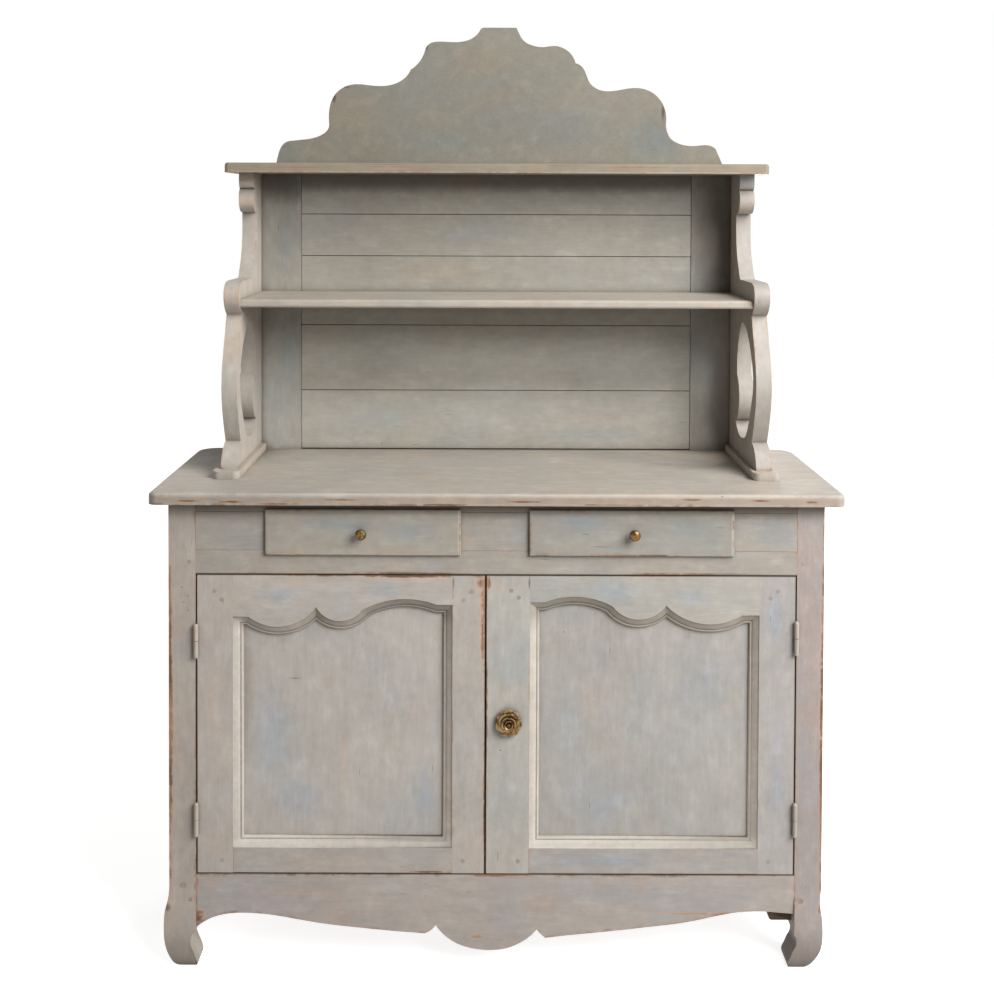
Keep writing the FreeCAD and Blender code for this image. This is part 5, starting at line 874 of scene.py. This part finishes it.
def petal(angle, half_width, near, far, rise_low, rise_high, curl):
    """The points of one petal, row by row from the middle of the rose to its rim."""
    points = []
    for row in range(OUTWARD):
        out = row / (OUTWARD - 1)
        for column in range(ACROSS):
            side = 2 * column / (ACROSS - 1) - 1
            turn = math.radians(angle + half_width * side)
            reach = near + (far - near) * out * (1 - CORNER_CUT * abs(side) ** CORNER_BEND)
            rise = rise_low + (rise_high - rise_low) * out ** RISE_BEND - curl * out ** CURL_BEND
            rise += PETAL_TILT * side * out
            points.append((rose_x + reach * math.cos(turn), rose_back - rise,
                           rose_z + stretch * reach * math.sin(turn)))
    return points


points, faces = [], []
for count, first, *shape in PETAL_RINGS:
    for number in range(count):
        start = len(points)
        points += petal(first + 360 / count * number, *shape)
        for row in range(OUTWARD - 1):
            for column in range(ACROSS - 1):
                corner = start + row * ACROSS + column
                faces.append((corner, corner + 1, corner + ACROSS + 1, corner + ACROSS))
print(sum(ring[0] for ring in PETAL_RINGS), "petals,", len(faces), "faces")

# %% [markdown]
# The bud and the spindle behind the rose are turned: a profile of radii goes once round the axis.

# %% Turn the bud and the spindle, and let both ride on the rosette
ROUND = 24


def turned(profile):
    """A closed turned solid; the profile's rows are radius and distance before the rose's back."""
    rim_points, rim_faces = [], []
    for radius, before in profile:
        for step in range(ROUND):
            turn = 2 * math.pi * step / ROUND
            rim_points.append((rose_x + radius * math.cos(turn), rose_back - before,
                               rose_z + radius * math.sin(turn)))
    for row in range(len(profile) - 1):
        for step in range(ROUND):
            after = (step + 1) % ROUND
            rim_faces.append((row * ROUND + step, row * ROUND + after,
                              (row + 1) * ROUND + after, (row + 1) * ROUND + step))
    rim_faces.append(tuple(range(ROUND)))
    rim_faces.append(tuple(reversed(range((len(profile) - 1) * ROUND, len(profile) * ROUND))))
    return rim_points, rim_faces


def rosette_piece(name, mesh_points, mesh_faces):
    """A new piece that turns with the rosette and has its metal."""
    mesh = bpy.data.meshes.new(name)
    mesh.from_pydata(mesh_points, [], mesh_faces)
    mesh.materials.append(nodes["rosette_knob"].data.materials[0])
    mesh.shade_smooth()
    piece = bpy.data.objects.new(name, mesh)
    bpy.context.scene.collection.objects.link(piece)
    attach(piece, "rosette")
    return piece


rose = rosette_piece("rosette_petals", points, faces)
shell = rose.modifiers.new("thickness", "SOLIDIFY")
shell.thickness = PETAL_THICKNESS
shell.offset = 0.0
rounded = rose.modifiers.new("rounded", "SUBSURF")
rounded.levels = rounded.render_levels = 2
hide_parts("rosette_knob")

spindle_end = rose_back - high[1]
BUD = [(0.0008, 0.0176), (0.0022, 0.0170), (0.0034, 0.0150), (0.0036, 0.0120), (0.0060, 0.0060)]
BACK_PLATE = [(0.0130, 0.0030), (0.0132, 0.0004), (0.0080, 0.0)]
COLLAR = [(0.0062, -0.0030), (0.0062, -STANDOFF + 0.0004)]
SPINDLE = [(0.0040, -STANDOFF + 0.0003), (0.0040, spindle_end + 0.0004), (0.0036, spindle_end)]
rosette_piece("rosette_bud_and_spindle", *turned(BUD + BACK_PLATE + COLLAR + SPINDLE))
print("rose", round(1000 * (high[0] - low[0])), "mm wide")

# %% [markdown]
# ## Soft arrises
#
# No edge on an old cupboard is sharp. A weld joins the CAD mesh's faces, a bevel rounds every real
# edge by about a millimetre and leaves the flat joins between triangles alone, and weighted normals
# keep the large faces flat. The top shelf has a rounder nosing. These are modifiers, so the CAD mesh
# itself stays as it is.

# %% Round the edges
WELD = 0.00001
SHARP_ANGLE = math.radians(38)
ARRIS = 0.0012
NOSING = 0.0048
DOOR_ARRIS = 0.0006
FINE_ARRIS = 0.0004
ARRIS_STEPS, NOSING_STEPS = 2, 5
FACE_WEIGHT = 60
FINE_PIECES = ("rosette", "hinge", "bolt", "latch", "knob", "mouldings", "pegs", "dowels")


def arris_of(piece):
    """How far an edge is rounded: the arrises of a door's frame are finer, so its joints stay shut."""
    if any(word in piece for word in FINE_PIECES):
        return FINE_ARRIS
    if piece == "rack_top_shelf":
        return NOSING
    return DOOR_ARRIS if piece.startswith("door") else ARRIS


for piece in nodes:
    solid = nodes[piece]
    weld = solid.modifiers.new("weld", "WELD")
    weld.merge_threshold = WELD
    bevel = solid.modifiers.new("arris", "BEVEL")
    bevel.width = arris_of(piece)
    bevel.segments = NOSING_STEPS if piece == "rack_top_shelf" else ARRIS_STEPS
    bevel.limit_method = "ANGLE"
    bevel.angle_limit = SHARP_ANGLE
    normals = solid.modifiers.new("normals", "WEIGHTED_NORMAL")
    normals.weight = FACE_WEIGHT
print("softened", len(nodes), "pieces")
